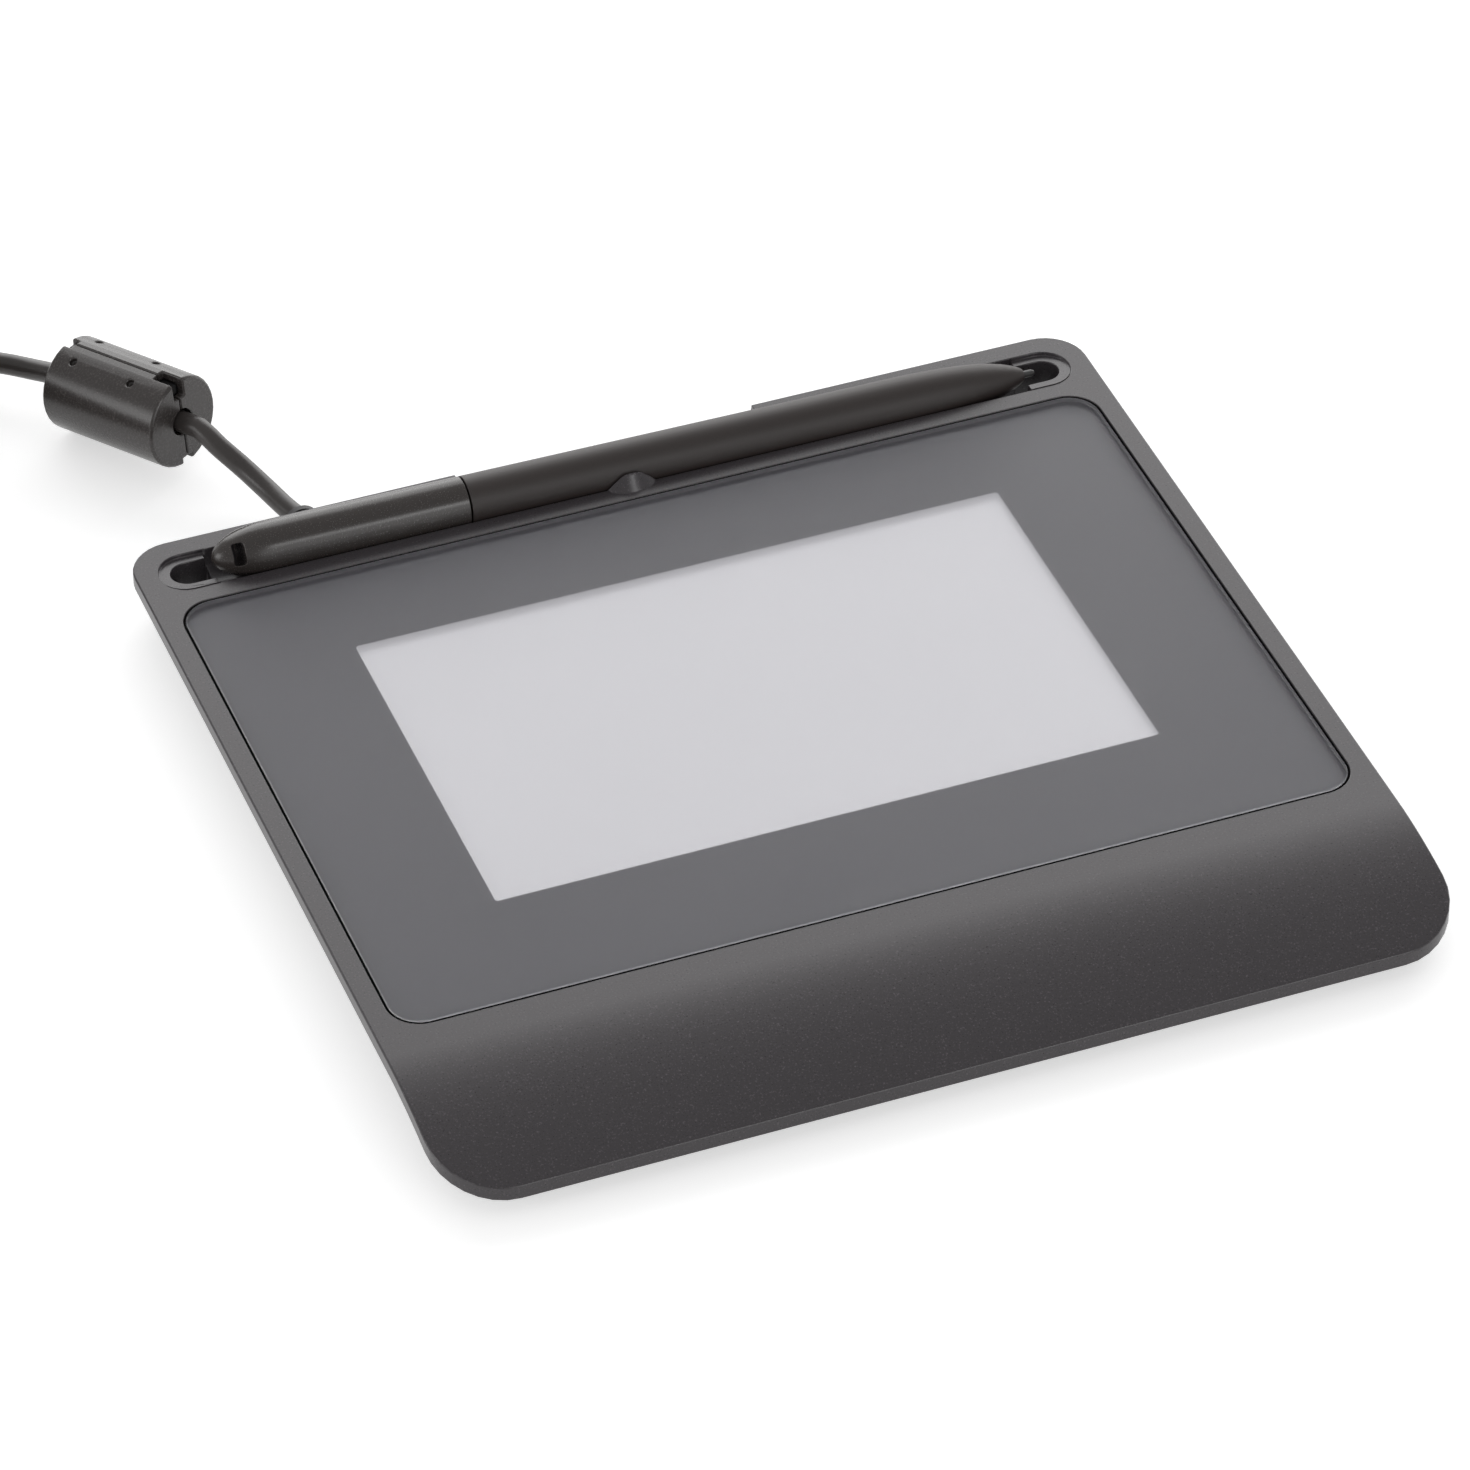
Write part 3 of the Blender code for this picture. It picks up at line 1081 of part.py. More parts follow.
def build_cable():
    seat = back_y - BASE_INSET + SEAT_GAP
    bore = cord_radius + SEAT_GAP
    socket_floor = relief_outer_y - RELIEF_LENGTH / 3
    profile = [(0, socket_floor), (bore, socket_floor), (bore, relief_outer_y),
               (relief_tip_radius, relief_outer_y)]
    ring = RELIEF_LENGTH / (2 * RELIEF_GROOVES + 1)
    for i in range(RELIEF_GROOVES):
        for place, depth in ((2 * i + 1, 0), (2 * i + 1, 1), (2 * i + 2, 1), (2 * i + 2, 0)):
            y = relief_outer_y - ring * place
            outer = relief_tip_radius + (RELIEF_RADIUS - relief_tip_radius) * ring * place / RELIEF_LENGTH
            profile.append((outer - depth * RELIEF_GROOVE_DEPTH, y))
    profile += [(RELIEF_RADIUS, seat), (RELIEF_NECK_RADIUS, seat),
                (RELIEF_NECK_RADIUS, relief_inner_y), (0, relief_inner_y)]
    relief = turned("strain_relief", profile, cable_axis)
    shade_round(relief)
    add_part(relief, plastic("strain_relief", (0.10, 0.10, 0.105), 0.6))

    board_left = -board_width / 2
    header_left = board_left + HEADER_END_MARGIN
    header_y = board_y + BOARD_DEPTH / 2 - SEAT_GAP - HEADER_DEPTH / 2
    header_z = board_top + SEAT_GAP + HEADER_HEIGHT / 2
    lead_start = relief_inner_y - SEAT_GAP
    lead_x = -display_width / 2 - DISPLAY_CLEARANCE - SEAT_GAP - lead_radius
    route = [(exit_x, lead_start, exit_z),
             (exit_x, lead_start - tray_radius, lead_z),
             ((exit_x + lead_x) / 2, pen_y - 2 * tray_radius, lead_z),
             (lead_x, display_back + tray_radius, lead_z),
             (lead_x, display_y + display_depth / 4, lead_z),
             (lead_x, display_y - display_depth / 4, lead_z),
             (lead_x, display_front, lead_z),
             (lead_x + LEAD_DIAMETER, header_y + HEADER_DEPTH / 2, (lead_z + header_z) / 2),
             (board_left - LEAD_DIAMETER, header_y + LEAD_DIAMETER / 3, header_z),
             ((board_left + header_left) / 2, header_y, header_z),
             (header_left - SEAT_GAP, header_y, header_z)]
    lead = tube("inner_lead", smooth_path(route, 2 * LEAD_DIAMETER), lead_radius, 1)
    shade_round(lead, math.radians(70))
    add_part(lead, plastic("inner_lead", (0.05, 0.05, 0.05), 0.6))

    near = ferrite_frame @ Vector((-FERRITE_LENGTH / 2, 0, 0))
    far = ferrite_frame @ Vector((FERRITE_LENGTH / 2, 0, 0))
    inward = (far - near).normalized()
    coil = coil_points()
    run_start = Vector((exit_x, socket_floor + SEAT_GAP, exit_z))
    coil_way = (coil[1] - coil[0]).normalized()
    run_end = coil[0] - coil_way * SEAT_GAP
    route = [Vector((exit_x, relief_outer_y + SEAT_GAP, exit_z))]
    route += [exit_place + Vector(step) for step in ROUTE_TO_FERRITE]
    route += [near - inward * CORD_DIAMETER, near, far, far + inward * CORD_DIAMETER]
    route += [exit_place + Vector(step) for step in ROUTE_TO_COIL]
    route += [run_end - coil_way * 2 * CORD_DIAMETER, run_end]
    run = [run_start] + smooth_path(route, 2 * CORD_DIAMETER)
    cable = tube("usb_cable", run, cord_radius, 2)
    shade_round(cable, math.radians(70))
    add_part(cable, plastic("usb_cable", (0.07, 0.066, 0.064), 0.5))

    wound = tube("cable_coil", coil, cord_radius, 1)
    shade_round(wound, math.radians(80))
    add_part(wound, plastic("cable_coil", (0.07, 0.066, 0.064), 0.5))

    plug_x, plug_y = plug_place
    plug_z = PLUG_STAND + PLUG_BODY_HEIGHT / 2
    out_way = (coil[-1] - coil[-2]).normalized()
    tail_start = coil[-1] + out_way * SEAT_GAP
    tail_end = Vector((plug_x, plug_y + SEAT_GAP, plug_z))
    reach = tail_start.x - plug_x
    drop = tail_start.z - plug_z
    swing = tail_start.y - tail_end.y
    tail_shares = ((0.30, 0.00, 0.04), (0.62, 0.07, 0.24), (0.86, 0.28, 0.55), (0.98, 0.58, 0.85))
    route = [tail_start] + [tail_start + Vector((-reach * across, -swing * back, -drop * down))
                            for across, back, down in tail_shares]
    route += [tail_end + Vector((0, CORD_DIAMETER, 0)), tail_end]
    tail_path = smooth_path(route, 2 * CORD_DIAMETER)
    tail = tube("plug_tail", tail_path, cord_radius, 2)
    shade_round(tail, math.radians(70))
    add_part(tail, plastic("plug_tail", (0.07, 0.066, 0.064), 0.5))
    lengths = [path_length(run), path_length(coil), path_length(tail_path)]
    print("cable lengths run %.4f coil %.4f tail %.4f total %.4f" % (*lengths, sum(lengths)))
    print("least gap of the coil to itself %.5f" % least_gap(coil))


def half_space(name, side):
    """All that lies on one side of the ferrite's parting plane."""
    reach = 2 * FERRITE_RADIUS + OVERRUN
    return box(name, (0, -side * (reach / 2 - FERRITE_SPLIT / 2), 0),
               (FERRITE_LENGTH + 2 * OVERRUN, reach, reach), ferrite_frame)


def build_ferrite():
    centre = empty("ferrite_axis", ferrite_frame)
    half = FERRITE_LENGTH / 2
    hole = cord_radius + FERRITE_BORE_GAP
    inside = FERRITE_RADIUS - FERRITE_WALL
    floor = half - FERRITE_WALL
    chamfer = FERRITE_EDGE_ROUND
    soft_share = 0.3
    soft = chamfer * soft_share
    shell = [(hole, half), (FERRITE_RADIUS - chamfer, half), (FERRITE_RADIUS - soft, half - soft),
             (FERRITE_RADIUS, half - chamfer), (FERRITE_RADIUS, -half + chamfer),
             (FERRITE_RADIUS - soft, -half + soft), (FERRITE_RADIUS - chamfer, -half), (hole, -half),
             (hole, -floor), (inside, -floor), (inside, floor), (hole, floor)]
    core_radius = inside - SEAT_GAP
    core_half = floor - SEAT_GAP
    core = [(core_radius, core_half), (core_radius, -core_half), (hole, -core_half), (hole, core_half)]
    for side, hand in ((1, "front"), (-1, "back")):
        case = turned_ring("ferrite_case_" + hand, shell, ferrite_frame @ lengthwise, FERRITE_STEPS)
        cut(case, half_space("case_split_" + hand, side))
        slot_top = FERRITE_RADIUS + OVERRUN
        slot_low = FERRITE_RADIUS - LATCH_SLOT_DROP
        reach = LATCH_SLOT_LENGTH + OVERRUN
        # Each end has a latch slot on one seam and a notch on the other, turned end for end
        for end, up in ((-1, 1), (1, -1)):
            slot_x = end * (half + OVERRUN - reach / 2)
            cut(case, box("latch_slot_%s_%d" % (hand, end),
                          (slot_x, side * LATCH_SLOT_WIDTH / 2, up * (slot_top + slot_low) / 2),
                          (reach, LATCH_SLOT_WIDTH, slot_top - slot_low), ferrite_frame))
            notch_reach = LATCH_NOTCH_LENGTH + OVERRUN
            notch_x = -end * (half + OVERRUN - notch_reach / 2)
            cut(case, box("latch_notch_%s_%d" % (hand, end),
                          (notch_x, 0, up * (FERRITE_RADIUS - LATCH_NOTCH_DEPTH / 2 + OVERRUN / 2)),
                          (notch_reach, LATCH_NOTCH_WIDTH, LATCH_NOTCH_DEPTH + OVERRUN), ferrite_frame))
        for index in range(PINHOLE_COUNT):
            spot = half - PINHOLE_FIRST - index * PINHOLE_SPACING
            pin = (ferrite_frame @ Matrix.Rotation(-side * PINHOLE_ANGLE, 4, 'X')
                   @ Matrix.Translation((spot, 0, 0)))
            cut(case, rod("pinhole_%s_%d" % (hand, index), PINHOLE_RADIUS,
                          FERRITE_RADIUS - PINHOLE_DEPTH, FERRITE_RADIUS + OVERRUN, pin,
                          ROUND_STEPS // 2))
        shade_round(case)
        add_part(case, plastic("ferrite_case_" + hand, (0.07, 0.068, 0.067), 0.5))
        slug = turned_ring("ferrite_core_" + hand, core, ferrite_frame @ lengthwise)
        cut(slug, half_space("core_split_" + hand, side))
        shade_round(slug)
        add_part(slug, plastic("ferrite_core_" + hand, (0.035, 0.033, 0.033), 0.7))
        for piece in (case, slug):
            placed = piece.matrix_world.copy()
            piece.parent = centre
            piece.matrix_world = placed


def build_tie():
    """A band round the coil, drawn across the bundle."""
    span = coil_pitch * COIL_TURNS_PER_LAYER
    reach = SEAT_GAP + cord_radius
    inner_low = TIE_THICKNESS
    inner_high = inner_low + 2 * reach + coil_pitch * (COIL_LAYERS - 1)
    near = COIL_MID_RADIUS - span / 2 - reach
    far = COIL_MID_RADIUS + span / 2 + reach
    middle = ((near + far) / 2, (inner_low + inner_high) / 2)
    width, height = far - near, inner_high - inner_low
    corner = cord_radius
    outer_corner = corner + TIE_THICKNESS
    inner = rounded_rectangle(middle, width, height, corner, corner, 3)
    outer = rounded_rectangle(middle, width + 2 * TIE_THICKNESS, height + 2 * TIE_THICKNESS,
                              outer_corner, outer_corner, 3)
    turn = (Matrix.Translation((*coil_centre, 0)) @ Matrix.Rotation(TIE_ANGLE, 4, 'Z') @ ALONG_Y)
    tie = slab("cable_tie", [outer, inner[::-1]], -TIE_WIDTH / 2, TIE_WIDTH / 2, turn)
    shade_round(tie)
    add_part(tie, plastic("cable_tie", (0.03, 0.03, 0.03), 0.7))


def build_plug():
    plug_x, plug_y = plug_place
    plug_z = PLUG_STAND + PLUG_BODY_HEIGHT / 2
    body_back = plug_y - PLUG_BOOT_LENGTH
    body_front = body_back - PLUG_BODY_LENGTH
    place = Matrix.Translation((plug_x, 0, plug_z))
    outline = rounded_rectangle((0, (body_back + body_front) / 2), PLUG_BODY_WIDTH, PLUG_BODY_LENGTH,
                                PLUG_BODY_ROUND, 2 * PLUG_BODY_ROUND, 4)
    body = slab("plug_overmould", [outline], -PLUG_BODY_HEIGHT / 2, PLUG_BODY_HEIGHT / 2, place)
    round_edges(body, PLUG_BODY_ROUND / 2, 2)
    boot = place @ Matrix.Rotation(-math.pi / 2, 4, 'X')
    join(body, rod("plug_boot", PLUG_BOOT_RADIUS, body_back - PLUG_BODY_ROUND, plug_y, boot,
                   top_radius=PLUG_BOOT_TIP_RADIUS))
    shade_round(body)
    add_part(body, plastic("plug_overmould", (0.05, 0.048, 0.047), 0.5))

    shell_back = body_front - SEAT_GAP
    shell_front = shell_back - PLUG_SHELL_LENGTH
    half_width, half_height = PLUG_SHELL_WIDTH / 2, PLUG_SHELL_HEIGHT / 2
    wall = PLUG_SHELL_WALL
    outer = [(-half_width, -half_height), (half_width, -half_height),
             (half_width, half_height), (-half_width, half_height)]
    inner = [(x - math.copysign(wall, x), z - math.copysign(wall, z)) for x, z in outer]
    shell = slab("plug_shell", [outer, inner[::-1]], -shell_back, -shell_front, place @ ALONG_Y)
    for side in (-1, 1):
        cut(shell, box("shell_window_%d" % side,
                       (side * PLUG_WINDOW_SPACING / 2,
                        shell_front + PLUG_WINDOW_FROM_MOUTH, half_height),
                       (PLUG_WINDOW, PLUG_WINDOW, 4 * wall), place))
    shade_round(shell)
    add_part(shell, plastic("plug_shell", (0.72, 0.72, 0.73), 0.25, 1.0))
    tongue_width = PLUG_SHELL_WIDTH - 2 * (wall + SEAT_GAP)
    tongue = box("plug_tongue",
                 (0, shell_back - PLUG_TONGUE_LENGTH / 2,
                  -half_height + wall + SEAT_GAP + PLUG_TONGUE_HEIGHT / 2),
                 (tongue_width, PLUG_TONGUE_LENGTH, PLUG_TONGUE_HEIGHT), place)
    add_part(tongue, plastic("plug_tongue", (0.85, 0.85, 0.84), 0.5))


build_top_housing()
build_bottom_housing()
build_feet_and_screws()
build_display()
build_board()
build_pen()
build_cable()
build_ferrite()
build_tie()
build_plug()
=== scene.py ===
import math

import bmesh
import bpy
from mathutils import Matrix, Vector


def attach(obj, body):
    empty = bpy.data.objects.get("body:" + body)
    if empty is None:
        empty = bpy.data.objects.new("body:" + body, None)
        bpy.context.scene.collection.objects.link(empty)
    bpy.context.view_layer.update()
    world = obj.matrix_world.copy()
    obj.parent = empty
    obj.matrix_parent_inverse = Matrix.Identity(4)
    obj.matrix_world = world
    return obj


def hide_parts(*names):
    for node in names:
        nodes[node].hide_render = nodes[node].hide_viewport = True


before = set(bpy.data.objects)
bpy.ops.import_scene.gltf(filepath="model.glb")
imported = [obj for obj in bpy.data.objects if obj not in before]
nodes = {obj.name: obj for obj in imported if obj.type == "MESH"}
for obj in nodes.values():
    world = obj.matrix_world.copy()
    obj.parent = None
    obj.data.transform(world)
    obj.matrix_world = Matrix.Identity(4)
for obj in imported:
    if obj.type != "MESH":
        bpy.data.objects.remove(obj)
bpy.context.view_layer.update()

# Camera
# A long lens from the user's front left, looking down on the pad at the photograph's angle.
camera_data = bpy.data.cameras.new("camera")
camera_data.sensor_width = 36
camera_data.lens = 188.5
camera_data.clip_start = 0.05
camera_data.clip_end = 20
camera = bpy.data.objects.new("camera", camera_data)
bpy.context.scene.collection.objects.link(camera)
camera.matrix_world = Matrix((
    (0.93300, 0.23130, -0.27580, -0.33170),
    (-0.35990, 0.59590, -0.71780, -0.84445),
    (-0.00170, 0.76900, 0.63930, 0.76280),
    (0, 0, 0, 1)))
bpy.context.scene.camera = camera

# Table
# A plain pale table top that runs on to a white studio; it keeps the pad's soft shadow.
# Its lower side lets the eye through, so that the pad's feet and screws can be seen from below.
def add_node(tree, kind, links=(), **values):
    """A node with its settings, and what each of its inputs is fed from."""
    node = tree.nodes.new(kind)
    for key, value in values.items():
        setattr(node, key, value)
    for socket, source in dict(links).items():
        if hasattr(source, "node"):
            tree.links.new(source, node.inputs[socket])
        else:
            node.inputs[socket].default_value = source
    return node


table_half_width = 4
table_drop = 0.0002
glow_strength = 0.55
table_mesh = bpy.data.meshes.new("table")
table_shell = bmesh.new()
bmesh.ops.create_grid(table_shell, x_segments=1, y_segments=1, size=table_half_width)
bmesh.ops.translate(table_shell, verts=table_shell.verts, vec=(0, 0, -table_drop))
table_shell.to_mesh(table_mesh)
table_shell.free()
table = bpy.data.objects.new("table", table_mesh)
bpy.context.scene.collection.objects.link(table)
table_look = bpy.data.materials.new("table")
table_look.use_nodes = True
table_tree = table_look.node_tree
table_shader = table_tree.nodes["Principled BSDF"]
for label, value in {"Base Color": (0.80, 0.80, 0.80, 1), "Roughness": 0.9, "Specular IOR Level": 0.1,
                     "Emission Color": (1, 1, 1, 1)}.items():
    table_shader.inputs[label].default_value = value
table_path = add_node(table_tree, "ShaderNodeLightPath")
table_seen = add_node(table_tree, "ShaderNodeMath",
                      {0: table_path.outputs["Is Camera Ray"], 1: table_path.outputs["Is Glossy Ray"]},
                      operation="MAXIMUM")
table_glow = add_node(table_tree, "ShaderNodeMath", {0: table_seen.outputs[0], 1: glow_strength},
                      operation="MULTIPLY")
table_tree.links.new(table_glow.outputs[0], table_shader.inputs["Emission Strength"])
table_side = add_node(table_tree, "ShaderNodeNewGeometry")
table_holds = add_node(table_tree, "ShaderNodeMath", {0: 1.0, 1: table_side.outputs["Backfacing"]},
                       operation="SUBTRACT")
table_tree.links.new(table_holds.outputs[0], table_shader.inputs["Alpha"])
table_mesh.materials.append(table_look)

# Studio light
# A wide softbox stands low behind the pad, a small one in front and one on the left, and a glint
# lamp higher in front; the rest of the studio is a pale surround, brightest low down behind.
world = bpy.data.worlds.new("studio")
world.use_nodes = True
world_tree = world.node_tree
surround = world_tree.nodes["Background"]
surround.inputs["Color"].default_value = (1, 1, 1, 1)
world_way = add_node(world_tree, "ShaderNodeTexCoord")
world_split = add_node(world_tree, "ShaderNodeSeparateXYZ", {0: world_way.outputs["Generated"]})
# From dim in front to bright low down behind, and dim again overhead; the eye sees plain white.
world_back = add_node(world_tree, "ShaderNodeMapRange",
                      {"Value": world_split.outputs["Y"], "From Min": -1.0, "From Max": 0.3,
                       "To Min": 0.38, "To Max": 1.25})
world_height = add_node(world_tree, "ShaderNodeMapRange",
                        {"Value": world_split.outputs["Z"], "From Max": 0.45,
                         "To Min": world_back.outputs["Result"], "To Max": 0.46})
world_path = add_node(world_tree, "ShaderNodeLightPath")
surround_strength = add_node(world_tree, "ShaderNodeMapRange",
                             {"Value": world_path.outputs["Is Camera Ray"],
                              "To Min": world_height.outputs["Result"], "To Max": 1.0})
world_tree.links.new(surround_strength.outputs["Result"], surround.inputs["Strength"])
bpy.context.scene.world = world
for lamp_name, place, width, height, power in (
        ("softbox_behind", (0.62, 1.50, 0.79), 2.6, 1.4, 25.0),
        ("softbox_front", (0.45, -1.50, 0.50), 1.0, 0.8, 3.4),
        ("softbox_left", (-1.50, 0.10, 0.40), 0.8, 0.6, 4.0),
        ("glint_front", (0.50, -1.36, 1.07), 0.3, 0.3, 2.5)):
    lamp_data = bpy.data.lights.new(lamp_name, "AREA")
    lamp_data.shape = "RECTANGLE"
    lamp_data.size = width
    lamp_data.size_y = height
    lamp_data.energy = power
    lamp = bpy.data.objects.new(lamp_name, lamp_data)
    lamp.location = place
    lamp.rotation_euler = (-Vector(place)).to_track_quat("-Z", "Y").to_euler()
    # The glint lamp only shows as a highlight on glossy faces.
    lamp.visible_diffuse = lamp_name != "glint_front"
    bpy.context.scene.collection.objects.link(lamp)
bpy.context.scene.view_settings.view_transform = "Standard"


# Bottom housing
# Dark moulded plastic with a fine spark-eroded grain, screwed up into the top housing from below.
# Its sides lean in under the rim, so that the pad seems to float on its feet.
def new_group(name, inputs, outputs):
    """An empty shader group with these sockets, and its input and output nodes."""
    group = bpy.data.node_groups.new(name, "ShaderNodeTree")
    for label, value in inputs.items():
        kind = "NodeSocketColor" if isinstance(value, tuple) else "NodeSocketFloat"
        group.interface.new_socket(label, in_out="INPUT", socket_type=kind).default_value = value
    for label in outputs:
        kind = "NodeSocketColor" if label == "Color" else "NodeSocketFloat"
        group.interface.new_socket(label, in_out="OUTPUT", socket_type=kind)
    return group, group.nodes.new("NodeGroupInput"), group.nodes.new("NodeGroupOutput")


def shade_by(tree, color, amount):
    """The color made lighter or darker by an amount that is 1 where it stays as it is."""
    gray = add_node(tree, "ShaderNodeCombineColor", {0: amount, 1: amount, 2: amount})
    return add_node(tree, "ShaderNodeMix", {0: 1.0, 6: color, 7: gray.outputs[0]},
                    data_type="RGBA", blend_type="MULTIPLY").outputs[2]


grain, grain_in, grain_out = new_group(
    "moulded_grain",
    {"Color": (0.1, 0.1, 0.1, 1), "Grain": 3000.0, "Contrast": 0.2, "Mottle": 0.05,
     "Glint Speck": 0.0, "Roughness": 0.5, "Roughness Swing": 0.1},
    ("Color", "Roughness", "Height"))
mottle_scale = 35.0
# Glint Speck lightens the colour at the grain's brightest points: painted glints that stand in for the
# grain's sparkle.
glint_speck_from, glint_speck_full = 0.60, 0.70
noise_middle = 0.5
grain_place = add_node(grain, "ShaderNodeTexCoord")
grain_fine = add_node(grain, "ShaderNodeTexNoise",
                      {"Vector": grain_place.outputs["Object"], "Scale": grain_in.outputs["Grain"],
                       "Detail": 2.0, "Roughness": 0.6})
grain_broad = add_node(grain, "ShaderNodeTexNoise",
                       {"Vector": grain_place.outputs["Object"], "Scale": mottle_scale, "Detail": 3.0})
grain_fine_off = add_node(grain, "ShaderNodeMath", {0: grain_fine.outputs[0], 1: noise_middle},
                          operation="SUBTRACT")
grain_broad_off = add_node(grain, "ShaderNodeMath", {0: grain_broad.outputs[0], 1: noise_middle},
                           operation="SUBTRACT")
grain_light = add_node(grain, "ShaderNodeMath",
                       {0: grain_fine_off.outputs[0], 1: grain_in.outputs["Contrast"], 2: 1.0},
                       operation="MULTIPLY_ADD")
grain_shade = add_node(grain, "ShaderNodeMath",
                       {0: grain_broad_off.outputs[0], 1: grain_in.outputs["Mottle"],
                        2: grain_light.outputs[0]},
                       operation="MULTIPLY_ADD")
grain_glint_speck = add_node(grain, "ShaderNodeMapRange",
                       {"Value": grain_fine.outputs[0], "From Min": glint_speck_from, "From Max": glint_speck_full})
grain_lit = add_node(grain, "ShaderNodeMath",
                     {0: grain_glint_speck.outputs[0], 1: grain_in.outputs["Glint Speck"], 2: grain_shade.outputs[0]},
                     operation="MULTIPLY_ADD")
grain.links.new(shade_by(grain, grain_in.outputs["Color"], grain_lit.outputs[0]), grain_out.inputs["Color"])
grain_rough = add_node(grain, "ShaderNodeMath",
                       {0: grain_fine_off.outputs[0], 1: grain_in.outputs["Roughness Swing"],
                        2: grain_in.outputs["Roughness"]}, operation="MULTIPLY_ADD")
grain.links.new(grain_rough.outputs[0], grain_out.inputs["Roughness"])
grain.links.new(grain_fine.outputs[0], grain_out.inputs["Height"])


def finish(name, group, values, bump, sockets=()):
    """A material whose color, roughness and relief come from a group; bump is the relief's depth."""
    look = bpy.data.materials.new(name)
    look.use_nodes = True
    tree = look.node_tree
    shader = tree.nodes["Principled BSDF"]
    effect = add_node(tree, "ShaderNodeGroup", node_tree=group)
    for label, value in values.items():
        effect.inputs[label].default_value = (*value, 1) if isinstance(value, tuple) else value
    tree.links.new(effect.outputs["Color"], shader.inputs["Base Color"])
    tree.links.new(effect.outputs["Roughness"], shader.inputs["Roughness"])
    relief = add_node(tree, "ShaderNodeBump", {"Height": effect.outputs["Height"], "Distance": bump})
    tree.links.new(relief.outputs["Normal"], shader.inputs["Normal"])
    for label, value in dict(sockets).items():
        shader.inputs[label].default_value = value
    return look


# Smooth faces: a node's facets are joined, and its edges stay crisp only where they turn sharply.
crease_angle = math.radians(35)
same_place = 0.000002
smooth_faces = bpy.data.node_groups.new("smooth_faces", "GeometryNodeTree")
smooth_faces.interface.new_socket("Geometry", in_out="INPUT", socket_type="NodeSocketGeometry")
smooth_faces.interface.new_socket("Geometry", in_out="OUTPUT", socket_type="NodeSocketGeometry")
smooth_in = add_node(smooth_faces, "NodeGroupInput")
smooth_joined = add_node(smooth_faces, "GeometryNodeMergeByDistance",
                         {"Geometry": smooth_in.outputs[0], "Distance": same_place})
smooth_round = add_node(smooth_faces, "GeometryNodeSetShadeSmooth", {"Geometry": smooth_joined.outputs[0]})
smooth_angle = add_node(smooth_faces, "GeometryNodeInputMeshEdgeAngle")
smooth_crease = add_node(smooth_faces, "FunctionNodeCompare",
                         {0: smooth_angle.outputs["Unsigned Angle"], 1: crease_angle})
smooth_normal = add_node(smooth_faces, "GeometryNodeSetMeshNormal",
                         {"Mesh": smooth_round.outputs[0], "Remove Custom": True,
                          "Edge Sharpness": smooth_crease.outputs[0], "Face Sharpness": False})
add_node(smooth_faces, "NodeGroupOutput", {"Geometry": smooth_normal.outputs[0]})
# Facets that lie this flat are one face again before the edges that turn this much are softened.
flat_angle = math.radians(0.4)
edge_angle = math.radians(40)


def dress(name, look, soften=0.0):
    """A CAD node with its facets smoothed, its edges softened by a width, and a finished material."""
    node = nodes[name]
    node.modifiers.new("smooth_faces", "NODES").node_group = smooth_faces
    if soften:
        whole = node.modifiers.new("whole_faces", "DECIMATE")
        whole.decimate_type = "DISSOLVE"
        whole.angle_limit = flat_angle
        edge = node.modifiers.new("soft_edges", "BEVEL")
        edge.width = soften
        edge.segments = 2
        edge.limit_method = "ANGLE"
        edge.angle_limit = edge_angle
        edge.use_clamp_overlap = False
        weights = node.modifiers.new("flat_faces_stay_flat", "WEIGHTED_NORMAL")
        weights.keep_sharp = True
    node.material_slots[0].material = look
    return node


base_look = finish("base_plastic", grain,
                   {"Color": (0.032, 0.031, 0.031), "Grain": 3200.0, "Contrast": 0.5, "Roughness": 0.6},
                   bump=0.00003)
dress("bottom_housing", base_look)

# Feet
# Four soft rubber discs, glued into shallow pockets of the base; faintly dusty from the table.
for foot_name in ("foot_back_left", "foot_back_right", "foot_front_left", "foot_front_right"):
    foot_look = finish("rubber_" + foot_name, grain,
                       {"Color": (0.022, 0.022, 0.023), "Grain": 1800.0, "Contrast": 0.8, "Mottle": 0.8,
                        "Roughness": 0.85}, bump=0.00003)
    dress(foot_name, foot_look)

# Screws
# Zinc-plated steel with turned heads: four hold the case together and two hold the main board.
turned_metal, turned_in, turned_out = new_group(
    "turned_metal",
    {"Color": (0.6, 0.6, 0.6, 1), "Lines": 9000.0, "Roughness": 0.3, "Roughness Swing": 0.2},
    ("Color", "Roughness", "Height"))
turned_place = add_node(turned_metal, "ShaderNodeTexCoord")
turned_lines = add_node(turned_metal, "ShaderNodeTexNoise",
                        {"Vector": turned_place.outputs["Object"], "Scale": turned_in.outputs["Lines"],
                         "Detail": 1.0})
turned_blush = add_node(turned_metal, "ShaderNodeTexNoise",
                        {"Vector": turned_place.outputs["Object"], "Scale": 500.0, "Detail": 3.0})
turned_tone = add_node(turned_metal, "ShaderNodeMapRange",
                       {"Value": turned_blush.outputs[0], "To Min": 0.85, "To Max": 1.08})
turned_metal.links.new(shade_by(turned_metal, turned_in.outputs["Color"], turned_tone.outputs[0]),
                       turned_out.inputs["Color"])
turned_rough = add_node(turned_metal, "ShaderNodeMath",
                        {0: turned_lines.outputs[0], 1: turned_in.outputs["Roughness Swing"],
                         2: turned_in.outputs["Roughness"]}, operation="MULTIPLY_ADD")
turned_metal.links.new(turned_rough.outputs[0], turned_out.inputs["Roughness"])
turned_metal.links.new(turned_lines.outputs[0], turned_out.inputs["Height"])
screw_look = finish("plated_steel", turned_metal, {"Color": (0.56, 0.56, 0.57), "Roughness": 0.22},
                    bump=0.000005, sockets={"Metallic": 1.0})
for screw_name in ("case_screw_1", "case_screw_2", "case_screw_3", "case_screw_4",
                   "board_screw_left", "board_screw_right"):
    dress(screw_name, screw_look)

